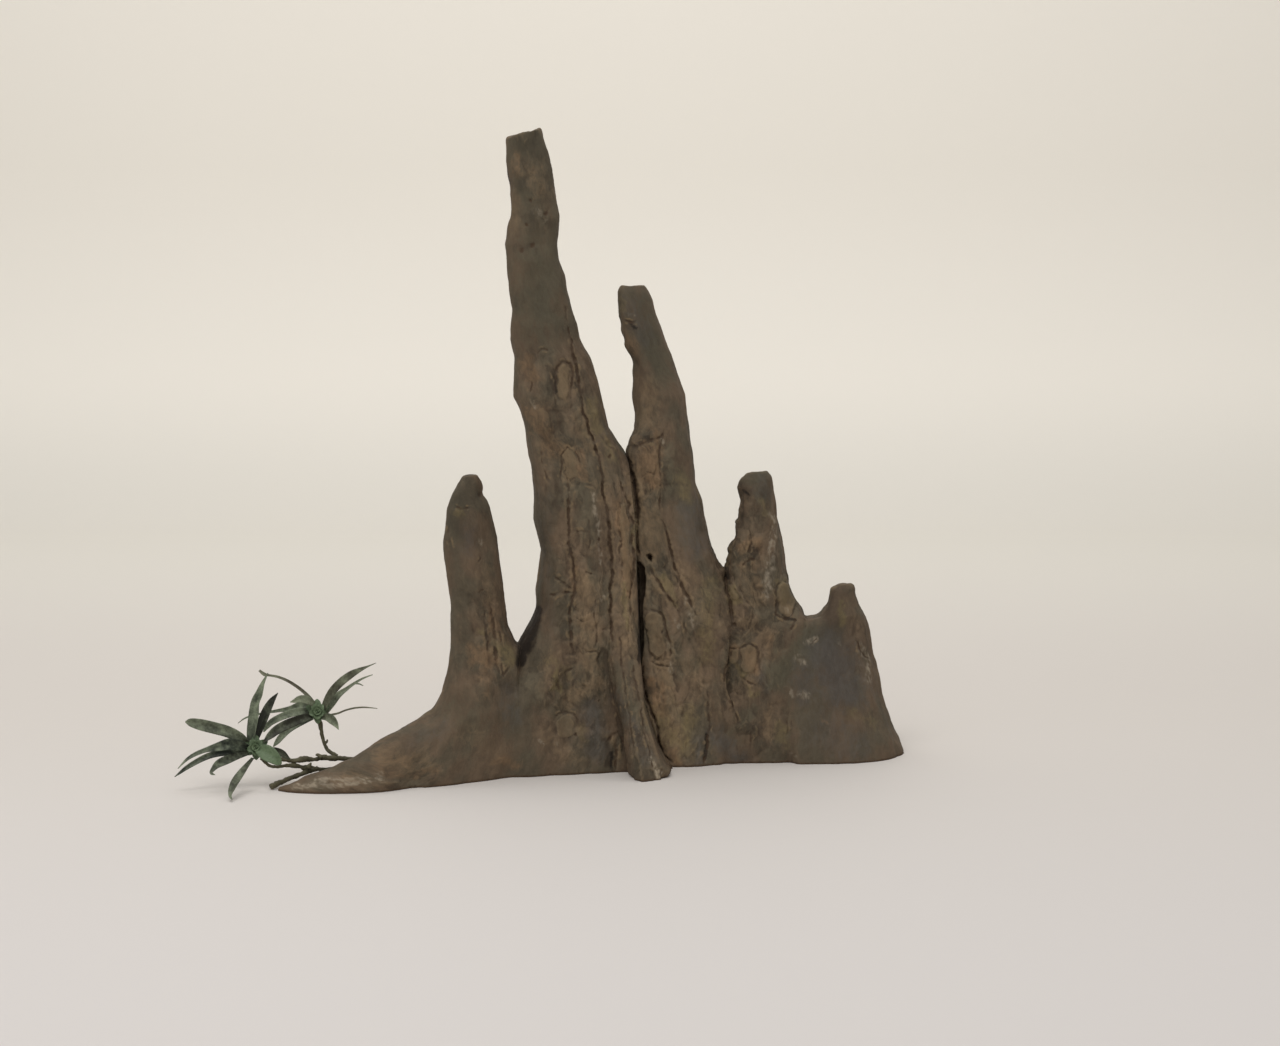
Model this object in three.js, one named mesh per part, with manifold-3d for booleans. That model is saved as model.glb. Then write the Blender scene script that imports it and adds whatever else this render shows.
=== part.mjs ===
// A cluster of five cypress knees grown from one root, sawn flat at the ground.
// It is a row of fused spires with a long root toe at the left and a short root at the front.
// A small leafy sprig is tucked behind the toe.
// Millimetres, +Z up, the front faces -Y. The origin is the middle of the footprint, on the ground.
import * as THREE from "three";
import { mergeVertices } from "three/addons/utils/BufferGeometryUtils.js";
import Module from "manifold-3d";

const wasm = await Module();
wasm.setup();

// Driving dimensions
const SEAM_GAP = 0.3; // between two knees that were parted along their seam
const CLUSTER_TOP = 720; // above every spire
const CLUSTER_REACH = 600; // beyond the cluster, to either side
const STEM_RADIUS = 1.9;
const LEAF_THICKNESS = 1.2;
const LEAF_WIDEST = 0.42; // share of a leaf's length from its bud
const BUD_RADIUS = 6.5;

// Each station of a spire is [height, left, right, front, back].
// skew is how far the section runs back for each millimetre to the right.
// square goes from the base's exponent of a superellipse to the tip's.
const spires = {
  left_spire: {
    colour: 0x55493a,
    points: 28,
    skew: 0.4,
    square: [3.0, 2.2],
    tilt: 0,
    stations: [
      [0, -240, -92, -52, 88],
      [18, -240, -93, -49, 85],
      [34, -238, -94, -46, 81],
      [50, -228, -96, -43, 75],
      [66, -209, -98, -40, 68],
      [82, -200, -101, -37, 61],
      [99, -195, -105, -34, 54],
      [115, -192, -113, -31, 47],
      [130, -190, -127, -28, 41],
      [148, -190, -135, -26, 36],
      [172, -189, -137, -24, 33],
      [205, -194, -141, -26, 30],
      [222, -196, -143, -24, 29],
      [238, -197, -145, -21, 29],
      [270, -194, -151, -19, 24],
      [286, -189, -157, -14, 21],
      [296, -184, -160, -9, 17],
      [303, -179, -164, -4, 12],
    ],
    furrows: [
      { x: [[110, -146], [150, -147], [180, -150]], depth: 4, width: 5 },
      { x: [[40, -168], [100, -172], [150, -170]], depth: 3, width: 12 },
    ],
  },
  tall_spire: {
    colour: 0x584a39,
    points: 36,
    skew: 0.2,
    square: [3.2, 2.3],
    tilt: 0.3,
    stations: [
      [0, -150, 38, -12, 126],
      [22, -150, 24, -10, 124],
      [44, -149, 14, -7, 121],
      [65, -148, 11, -4, 118],
      [86, -145, 9, -2, 115],
      [107, -136, 8, 0, 112],
      [132, -122, 7, 2, 108],
      [148, -113, 5, 3, 106],
      [166, -106, 3, 4, 103],
      [182, -106, 2, 5, 101],
      [223, -101, 2, 6, 97],
      [240, -105, 1, 6, 96],
      [256, -108, 0, 7, 94],
      [273, -108, -2, 8, 94],
      [290, -108, -4, 9, 93],
      [306, -110, -9, 10, 93],
      [322, -113, -17, 11, 92],
      [347, -117, -33, 13, 90],
      [364, -122, -36, 14, 89],
      [380, -128, -40, 15, 88],
      [396, -127, -43, 17, 88],
      [421, -127, -52, 21, 86],
      [437, -131, -60, 23, 85],
      [453, -130, -64, 22, 83],
      [469, -128, -69, 23, 81],
      [486, -132, -74, 25, 80],
      [502, -135, -77, 27, 79],
      [518, -135, -83, 26, 76],
      [534, -136, -85, 28, 75],
      [562, -130, -83, 29, 74],
      [590, -131, -88, 30, 71],
      [606, -134, -90, 31, 69],
      [622, -135, -94, 32, 68],
      [645, -134, -101, 34, 66],
    ],
    furrows: [
      { x: [[40, -74], [130, -68], [230, -72], [300, -76], [370, -86]], depth: 5, width: 9 },
      { x: [[90, -34], [200, -30], [290, -36], [400, -62], [480, -78]], depth: 5, width: 8 },
    ],
  },
  second_spire: {
    colour: 0x5c4c3a,
    points: 34,
    skew: 0.3,
    square: [3.2, 2.3],
    tilt: 0,
    stations: [
      [0, 22, 128, 28, 146],
      [16, 11, 127, 30, 144],
      [38, 1, 124, 31, 142],
      [59, -4, 122, 32, 140],
      [80, -6, 120, 34, 137],
      [101, -7, 118, 35, 134],
      [122, -8, 116, 36, 132],
      [144, -8, 113, 37, 130],
      [170, -9, 104, 38, 128],
      [186, -10, 91, 39, 126],
      [203, -11, 83, 40, 125],
      [220, -12, 75, 40, 123],
      [237, -13, 71, 41, 121],
      [270, -14, 65, 43, 118],
      [287, -16, 59, 44, 116],
      [303, -18, 57, 45, 115],
      [320, -15, 55, 46, 113],
      [345, -5, 51, 52, 110],
      [361, -5, 48, 53, 108],
      [378, -7, 46, 53, 107],
      [394, -8, 41, 55, 105],
      [411, -8, 35, 58, 103],
      [427, -15, 29, 58, 102],
      [444, -20, 23, 59, 101],
      [460, -23, 17, 61, 99],
      [477, -24, 13, 63, 97],
      [486, -23, 9, 65, 95],
      [492, -20, 5, 68, 91],
    ],
    furrows: [
      { x: [[30, 72], [100, 66], [160, 44], [230, 30], [330, 22]], depth: 5, width: 8 },
      { x: [[60, 34], [120, 26], [180, 14]], depth: 4, width: 6 },
    ],
  },
  right_spire: {
    colour: 0x5a4b3b,
    points: 28,
    skew: 0.1,
    square: [3.0, 2.3],
    tilt: 0.1,
    stations: [
      [0, 82, 182, 38, 146],
      [16, 81, 182, 40, 144],
      [38, 80, 182, 42, 142],
      [59, 79, 183, 45, 139],
      [80, 78, 184, 48, 136],
      [101, 78, 185, 51, 133],
      [122, 78, 186, 53, 131],
      [142, 78, 184, 55, 128],
      [159, 80, 165, 57, 126],
      [176, 85, 157, 58, 125],
      [193, 91, 153, 59, 123],
      [210, 91, 151, 61, 121],
      [218, 92, 150, 62, 120],
      [227, 96, 148, 63, 119],
      [236, 99, 146, 65, 117],
      [252, 102, 143, 67, 115],
      [269, 102, 141, 69, 113],
      [284, 101, 139, 72, 110],
      [292, 105, 137, 75, 107],
      [298, 111, 132, 80, 102],
    ],
    furrows: [
      { x: [[20, 128], [80, 132], [150, 124], [220, 118]], depth: 4, width: 7 },
    ],
  },
  outer_spire: {
    colour: 0x524a40,
    points: 26,
    skew: 0.22,
    square: [2.6, 2.2],
    tilt: 0,
    stations: [
      [0, 136, 282, 34, 150],
      [14, 136, 275, 38, 148],
      [31, 137, 266, 43, 145],
      [48, 138, 260, 47, 142],
      [65, 139, 256, 50, 139],
      [82, 140, 252, 54, 136],
      [99, 142, 249, 57, 133],
      [116, 145, 245, 60, 130],
      [132, 152, 241, 64, 127],
      [142, 165, 238, 67, 123],
      [149, 186, 235, 70, 120],
      [158, 193, 231, 74, 116],
      [167, 198, 228, 78, 112],
      [175, 202, 226, 82, 108],
      [180, 208, 221, 88, 102],
    ],
    furrows: [],
  },
};

// The short root that runs down the front of the tall spire and out over the ground
const frontRoot = {
  points: 18,
  skew: 0,
  square: [2.4, 2.2],
  tilt: 0,
  stations: [
    [0, -12, 32, -48, 40],
    [12, -13, 27, -46, 42],
    [26, -15, 21, -38, 44],
    [44, -19, 15, -29, 46],
    [65, -25, 10, -20, 48],
    [88, -30, 6, -13, 50],
    [110, -34, 2, -6, 52],
    [134, -36, -2, 2, 54],
    [160, -36, -8, 10, 56],
  ],
  furrows: [{ x: [[0, 14], [30, 4]], depth: 4, width: 5 }],
};

// The long root toe: each station is [x, front, back, height] of a dome that lies on the ground.
const TOE_POINTS = 21;
const toeStations = [
  [-356, -88, -81, 3],
  [-346, -94, -74, 6],
  [-334, -97, -66, 10],
  [-316, -100, -54, 17],
  [-299, -101, -44, 23],
  [-281, -100, -34, 31],
  [-268, -98, -26, 38],
  [-254, -94, -14, 46],
  [-238, -88, 2, 54],
  [-220, -80, 22, 61],
  [-200, -68, 44, 76],
];

// Where two knees meet: [x, z] down the fork and the seam below it, seen from the front
const seams = {
  toe: [[-212, CLUSTER_TOP], [-212, -20]],
  left: [[-205, CLUSTER_TOP], [-205, 330], [-124, 314], [-124, -20]],
  middle: [
    [-47, CLUSTER_TOP], [-47, 477], [-35, 427], [-24, 380], [-19, 347], [-14, 322],
    [-11, 300], [-6, 256], [-4, 200], [-1, 130], [0, 107], [4, 65], [17, 24], [31, 0], [31, -20],
  ],
  right: [
    [88, CLUSTER_TOP], [88, 200], [91, 190], [94, 150], [89, 100], [89, 78], [98, 48], [102, 20],
    [102, -20],
  ],
  outer: [[174, CLUSTER_TOP], [174, 160], [172, 146], [165, 116], [161, 60], [158, -20]],
};

// Sprig points, in the cluster's working coordinates
const lowBud = new THREE.Vector3(-379, -72, 39.4);
const highBud = new THREE.Vector3(-322.3, -38, 68.7);
const stems = {
  sprig_main_stem: [[-281, -35.5, 17], [-289, -38, 21], [-301, -44, 25], [-324, -52, 25.4], [-349, -62, 25.8],
    [-372.8, -69.9, 36.4]],
  sprig_side_stem: [[-304, -42.2, 29.6], [-311, -40, 33], [-316, -38, 41], [-320, -38, 61.6]],
  sprig_lower_stem: [[-302, -41.8, 7.5], [-319, -48, 11], [-330, -54, 15], [-345.5, -62, 17.1], [-359, -70, 21.5],
    [-374.8, -74.6, 33.6]],
  sprig_cut_twig: [[-316, -51.6, 4.6], [-324, -55.5, 9.6], [-334.3, -61, 11.4], [-348, -69.5, 7.2], [-361.5, -82, 2]],
};
// Each leaf grows from its bud through its middle to its tip. Its face is the way its upper side looks.
const lowLeaves = [
  { middle: [-413, -76, 58.5], tip: [-446, -84, 67], width: 13, face: [-0.1, -1, 0.6] },
  { middle: [-412.5, -92, 44.4], tip: [-450.6, -112, 26.4], width: 11, face: [-0.6, -1, 0.6] },
  { middle: [-422, -82, 31.6], tip: [-454.7, -97, 15.8], width: 7.5, face: [-0.3, -1, 0.7] },
  { middle: [-404.7, -94, 33.5], tip: [-416, -112, 19.5], width: 9, face: [-0.7, -1, 0.4] },
  { middle: [-391, -106, 17], tip: [-392.2, -138, 1.6], width: 9, face: [-0.3, -0.8, 0.6] },
  { middle: [-379.4, -66, 76.6], tip: [-367, -60, 114.8], width: 13, face: [-0.3, -1, 0.1] },
  { middle: [-371.5, -57, 71.3], tip: [-358.5, -48, 91.2], width: 10.5, face: [0.3, -1, 0.1] },
  { middle: [-359.6, -76, 38.6], tip: [-346.8, -72, 30], width: 8, face: [0.2, -1, 0.8] },
  { middle: [-366.5, -86, 30.5], tip: [-354.5, -86, 21.5], width: 16, face: [0.2, -1, 0.3] },
];
const highLeaves = [
  { middle: [-349, -30, 95.4], tip: [-381, -24, 108.9], width: 5, face: [-0.4, -1, 0.5] },
  { middle: [-297, -40, 97.5], tip: [-260.5, -42, 120.3], width: 10, face: [0.3, -1, 0.3] },
  { middle: [-291.6, -28, 92.5], tip: [-254.2, -16, 107.9], width: 8, face: [0.3, -1, 0.5] },
  { middle: [-285.2, -48, 75.7], tip: [-254.8, -54, 74.3], width: 3.5, face: [0.1, -0.7, 1] },
  { middle: [-307.5, -54, 63.5], tip: [-297.8, -66, 57.4], width: 14, face: [0.5, -1, 0.5] },
  { middle: [-332, -46, 81.5], tip: [-347.3, -54, 82.7], width: 9, face: [-0.3, -1, 0.4] },
  { middle: [-362, -24, 68], tip: [-407, -12, 51.3], width: 7, face: [-0.3, -1, 0.9] },
  { middle: [-350, -42, 68], tip: [-373.2, -50, 53.3], width: 10, face: [-0.4, -1, 0.7] },
  { middle: [-348.5, -57, 60], tip: [-368.3, -74, 49.5], width: 13, face: [-0.3, -1, 0.6] },
  { middle: [-344.8, -42, 51.3], tip: [-364.9, -54, 38.5], width: 9, face: [-0.3, -1, 0.3] },
];

const lerp = THREE.MathUtils.lerp;

// The position of a polyline of [height, x] pairs at a height, or null above and below it.
function along(line, height) {
  for (let i = 1; i < line.length; i++) {
    const [h0, x0] = line[i - 1];
    const [h1, x1] = line[i];
    if (height >= h0 && height <= h1) return lerp(x0, x1, (height - h0) / (h1 - h0));
  }
  return null;
}

// A slow swelling of the surface, in millimetres, so that no side is a plain curve.
function swelling(angle, height, seed) {
  return (
    1.5 * Math.sin(3 * angle + height / 37 + seed) +
    1.1 * Math.sin(5 * angle - height / 23 + 2 * seed) +
    0.9 * Math.sin(2 * angle + height / 13 + 3 * seed)
  );
}

// One closed section of a spire, its points evenly spaced along the outline.
function section(station, spire, share, seed) {
  const [height, left, right, front, back] = station;
  const centre = new THREE.Vector2((left + right) / 2, (front + back) / 2);
  const halfWidth = (right - left) / 2;
  const halfDepth = (back - front) / 2;
  const exponent = 2 / lerp(spire.square[0], spire.square[1], share);
  const fine = 6 * spire.points;
  const outline = [];
  for (let i = 0; i < fine; i++) {
    const angle = (2 * Math.PI * i) / fine;
    const c = Math.cos(angle);
    const s = Math.sin(angle);
    const x = halfWidth * Math.sign(c) * Math.abs(c) ** exponent;
    let y = halfDepth * Math.sign(s) * Math.abs(s) ** exponent + spire.skew * x;
    // Swelling moves the front and the back, and leaves the sides where they were measured.
    y += s * swelling(angle, height, seed) * Math.min(1, halfDepth / 30);
    if (s < 0)
      for (const furrow of spire.furrows) {
        const middle = along(furrow.x, height);
        if (middle === null) continue;
        const away = (centre.x + x - middle) / furrow.width;
        y += furrow.depth * Math.exp(-away * away) * -s;
      }
    outline.push(new THREE.Vector3(centre.x + x, centre.y + y, height + spire.tilt * x * share ** 12));
  }
  const path = new THREE.CatmullRomCurve3(outline, true, "catmullrom", 0);
  path.arcLengthDivisions = 4 * fine;
  return path.getSpacedPoints(spire.points).slice(0, spire.points);
}

// A closed solid through rings of equal count, its first and last rings closed by fans.
function loft(rings) {
  const count = rings[0].length;
  const positions = rings.flat().flatMap((p) => [p.x, p.y, p.z]);
  const triangles = [];
  for (let r = 0; r + 1 < rings.length; r++)
    for (let i = 0; i < count; i++) {
      const a = r * count + i;
      const b = r * count + ((i + 1) % count);
      triangles.push(a, b, a + count, b, b + count, a + count);
    }
  for (const [ring, turn] of [[0, true], [rings.length - 1, false]]) {
    const middle = positions.length / 3;
    const centre = rings[ring].reduce((sum, p) => sum.add(p), new THREE.Vector3()).divideScalar(count);
    positions.push(centre.x, centre.y, centre.z);
    for (let i = 0; i < count; i++) {
      const a = ring * count + i;
      const b = ring * count + ((i + 1) % count);
      triangles.push(...(turn ? [b, a, middle] : [a, b, middle]));
    }
  }
  return solidFrom(new Float32Array(positions), new Uint32Array(triangles));
}

function solidFrom(vertProperties, triVerts) {
  return new wasm.Manifold(new wasm.Mesh({ numProp: 3, vertProperties, triVerts }));
}

// A three.js geometry as a solid.
function solidOf(geometry) {
  const bare = geometry.clone();
  bare.deleteAttribute("normal");
  bare.deleteAttribute("uv");
  const merged = mergeVertices(bare, 1e-4);
  return solidFrom(merged.attributes.position.array, new Uint32Array(merged.index.array));
}

function geometryOf(solid) {
  const mesh = solid.getMesh();
  const geometry = new THREE.BufferGeometry();
  geometry.setAttribute("position", new THREE.BufferAttribute(mesh.vertProperties, 3));
  geometry.setIndex(new THREE.BufferAttribute(mesh.triVerts, 1));
  const faceted = geometry.toNonIndexed();
  faceted.computeVertexNormals();
  return faceted;
}

function spireSolid(spire, seed) {
  const top = spire.stations.at(-1)[0];
  return loft(spire.stations.map((station) => section(station, spire, station[0] / top, seed)));
}

// The space between two seams, right through the cluster from front to back.
function between(leftSeam, rightSeam) {
  const half = SEAM_GAP / 2;
  const leftSide = leftSeam.map(([x, z]) => new THREE.Vector2(x + half, z));
  const rightSide = rightSeam.map(([x, z]) => new THREE.Vector2(x - half, z)).reverse();
  const shape = new THREE.Shape([...leftSide, ...rightSide]);
  const geometry = new THREE.ExtrudeGeometry(shape, { depth: 2 * CLUSTER_REACH, bevelEnabled: false });
  geometry.translate(0, 0, -CLUSTER_REACH);
  geometry.rotateX(Math.PI / 2);
  return solidOf(geometry);
}

function toeSolid() {
  const rings = toeStations.map(([x, front, back, height]) => {
    const ring = [];
    for (let i = 0; i < TOE_POINTS; i++) {
      // Two thirds of the points go over the dome, and the rest lie on the ground.
      const share = i / TOE_POINTS;
      const over = share < 2 / 3;
      const angle = over ? 1.5 * Math.PI * share : 0;
      const across = over ? Math.cos(angle) : lerp(-1, 1, 3 * (share - 2 / 3));
      const y = lerp(back, front, (1 - across) / 2);
      const z = over ? height * Math.max(0, Math.sin(angle)) ** 0.9 : 0;
      ring.push(new THREE.Vector3(x, y, z));
    }
    return ring;
  });
  return loft(rings);
}

// A bent stem of round section, with the thickness of a wired twig.
function stemSolid(points) {
  const path = new THREE.CatmullRomCurve3(points.map((p) => new THREE.Vector3(...p)));
  const round = new THREE.Shape();
  const sides = 6;
  for (let i = 0; i < sides; i++) {
    const angle = (2 * Math.PI * i) / sides;
    const at = [STEM_RADIUS * Math.cos(angle), STEM_RADIUS * Math.sin(angle)];
    if (i === 0) round.moveTo(...at);
    else round.lineTo(...at);
  }
  return solidOf(new THREE.ExtrudeGeometry(round, { steps: 8, extrudePath: path, bevelEnabled: false }));
}

// A thin lance-shaped leaf that arches from a bud through its middle to its tip.
function leafSolid(bud, leaf) {
  const middle = new THREE.Vector3(...leaf.middle);
  const outward = middle.clone().sub(bud).normalize();
  const start = bud.clone().addScaledVector(outward, BUD_RADIUS + SEAM_GAP);
  const rib = new THREE.CatmullRomCurve3([start, middle, new THREE.Vector3(...leaf.tip)]);
  const face = new THREE.Vector3(...leaf.face);
  const steps = 6;
  const rings = [];
  for (let i = 0; i <= steps; i++) {
    const share = i / steps;
    const tangent = rib.getTangentAt(share);
    const across = new THREE.Vector3().crossVectors(face, tangent).normalize();
    const up = new THREE.Vector3().crossVectors(tangent, across);
    const swell = share < LEAF_WIDEST ? 0.25 + (0.75 * share) / LEAF_WIDEST : (1 - share) / (1 - LEAF_WIDEST);
    const half = Math.max(0.5, (leaf.width / 2) * Math.sin((Math.PI / 2) * swell));
    const thick = LEAF_THICKNESS / 2;
    const at = rib.getPointAt(share);
    const corners = [[half, thick], [0, thick * 0.4], [-half, thick], [-half, 0], [0, -thick], [half, 0]];
    rings.push(corners.map(([a, u]) => at.clone().addScaledVector(across, a).addScaledVector(up, u)));
  }
  return loft(rings);
}

function budSolid(centre) {
  const bud = new THREE.SphereGeometry(BUD_RADIUS, 10, 7);
  bud.translate(centre.x, centre.y, centre.z);
  return solidOf(bud);
}

function addMesh(group, name, solid, colour, roughness) {
  const material = new THREE.MeshStandardMaterial({ color: colour, roughness, metalness: 0 });
  const mesh = new THREE.Mesh(geometryOf(solid), material);
  mesh.name = name;
  group.add(mesh);
}

const cluster = new THREE.Group();

// The knees, from left to right, each cut off at its seams
const farLeft = [[-CLUSTER_REACH, CLUSTER_TOP], [-CLUSTER_REACH, -20]];
const farRight = [[CLUSTER_REACH, CLUSTER_TOP], [CLUSTER_REACH, -20]];
const tall = spireSolid(spires.tall_spire, 1).add(spireSolid(frontRoot, 6));
const knees = [
  ["root_toe", toeSolid(), farLeft, seams.toe, 0x6b5e50],
  ["left_spire", spireSolid(spires.left_spire, 0), seams.toe, seams.left, spires.left_spire.colour],
  ["tall_spire", tall, seams.left, seams.middle, spires.tall_spire.colour],
  ["second_spire", spireSolid(spires.second_spire, 2), seams.middle, seams.right, spires.second_spire.colour],
  ["right_spire", spireSolid(spires.right_spire, 3), seams.right, seams.outer, spires.right_spire.colour],
  ["outer_spire", spireSolid(spires.outer_spire, 4), seams.outer, farRight, spires.outer_spire.colour],
];
for (const [name, solid, leftSeam, rightSeam, colour] of knees)
  addMesh(cluster, name, solid.intersect(between(leftSeam, rightSeam)), colour, 0.92);

// The sprig
for (const [name, points] of Object.entries(stems)) addMesh(cluster, name, stemSolid(points), 0x3c4434, 0.7);
addMesh(cluster, "low_bud", budSolid(lowBud), 0x5d7a5c, 0.6);
addMesh(cluster, "high_bud", budSolid(highBud), 0x4f6a4c, 0.6);
lowLeaves.forEach((leaf, i) => addMesh(cluster, `low_leaf_${i + 1}`, leafSolid(lowBud, leaf), 0x4a5c4a, 0.55));
highLeaves.forEach((leaf, i) => addMesh(cluster, `high_leaf_${i + 1}`, leafSolid(highBud, leaf), 0x50634d, 0.55));

// The origin goes to the middle of the footprint, on the ground.
const bounds = new THREE.Box3().setFromObject(cluster);
const middle = bounds.getCenter(new THREE.Vector3());
cluster.position.set(-middle.x, -middle.y, -bounds.min.z);

export default cluster;
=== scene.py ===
"""The looks of the cypress knee cluster: two bark skins over the knees, and a leafy sprig behind the toe.

Places on the wood are (x, z) in millimetres in the front view: how far right of the camera's axis and how
far above the ground a point is seen on the upright plane through the camera's target.
"""

import itertools
import math

import bmesh
import bpy
import numpy as np
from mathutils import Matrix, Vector
from mathutils.bvhtree import BVHTree


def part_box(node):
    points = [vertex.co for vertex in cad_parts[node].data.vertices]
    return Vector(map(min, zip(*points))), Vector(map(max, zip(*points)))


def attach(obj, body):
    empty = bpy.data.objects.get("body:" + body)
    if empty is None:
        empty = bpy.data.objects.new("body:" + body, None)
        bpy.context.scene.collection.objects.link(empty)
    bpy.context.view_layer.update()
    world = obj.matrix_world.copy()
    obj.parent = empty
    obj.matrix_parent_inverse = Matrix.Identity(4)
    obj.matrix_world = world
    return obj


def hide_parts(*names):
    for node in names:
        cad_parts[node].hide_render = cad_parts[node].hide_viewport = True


MM = 0.001

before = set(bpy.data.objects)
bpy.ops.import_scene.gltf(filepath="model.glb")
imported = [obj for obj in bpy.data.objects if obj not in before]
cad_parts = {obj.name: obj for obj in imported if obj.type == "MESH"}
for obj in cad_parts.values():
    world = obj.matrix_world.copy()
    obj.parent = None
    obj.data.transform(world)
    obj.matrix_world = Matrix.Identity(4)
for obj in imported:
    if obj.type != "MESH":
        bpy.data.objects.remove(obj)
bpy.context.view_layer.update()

# The camera, measured from the camera's target on the ground, in millimetres
CAMERA_BACK = 2400.0
CAMERA_HEIGHT = 528.0
CAMERA_PITCH = 6.49  # degrees downward
CAMERA_LENS = 67.5
SENSOR_WIDTH = 36.0

# The cut side of the left spire and the front of the toe, measured from the camera's target
LEFT_SPIRE_SIDE = -124.15
TOE_FRONT = -101.0
TARGET = np.array([
    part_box("left_spire")[1].x / MM - LEFT_SPIRE_SIDE,
    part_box("root_toe")[0].y / MM - TOE_FRONT,
    0.0,
])

LEFT_KNEES = ["root_toe", "left_spire", "tall_spire"]
RIGHT_KNEES = ["second_spire", "right_spire", "outer_spire"]
SPIRES = ["left_spire", "tall_spire", "second_spire", "right_spire", "outer_spire"]

SEAM_OVERLAP = 0.3  # how far each knee grows so that the knees of a skin join up
WELD = 0.01  # corners this close are one
AT_GROUND = 0.5  # corners this low reach down into the skirt
SKIRT = 12.0  # how far the knees reach below the ground before the base is sawn flat
VOXEL = 1.15
SMOOTHINGS = 12
SKIN_TRIANGLES = 192_000

# Where knees grow together without a parting: (x, top, reach, how many times the skin is smoothed there)
JOINS = [(-212, 110, 45, 100), (-124, 96, 45, 120), (164, 170, 34, 80), (95, 60, 16, 40)]
# Where only a crease is softened: (x, bottom, top, reach, how many times)
CREASES = [(-33, 40, 185, 15, 160)]
# The parting between the two skins, from its top down: (x, z)
PARTING = [
    (-47, 720), (-47, 477), (-35, 427), (-24, 380), (-19, 347), (-14, 322), (-11, 300), (-6, 256),
    (-4, 200), (-1, 130), (0, 107), (4, 65), (17, 24), (31, 0), (31, -20),
]
PARTING_FILL = 0.9  # how far each skin swells inside the parting, so that no light comes through

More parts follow.
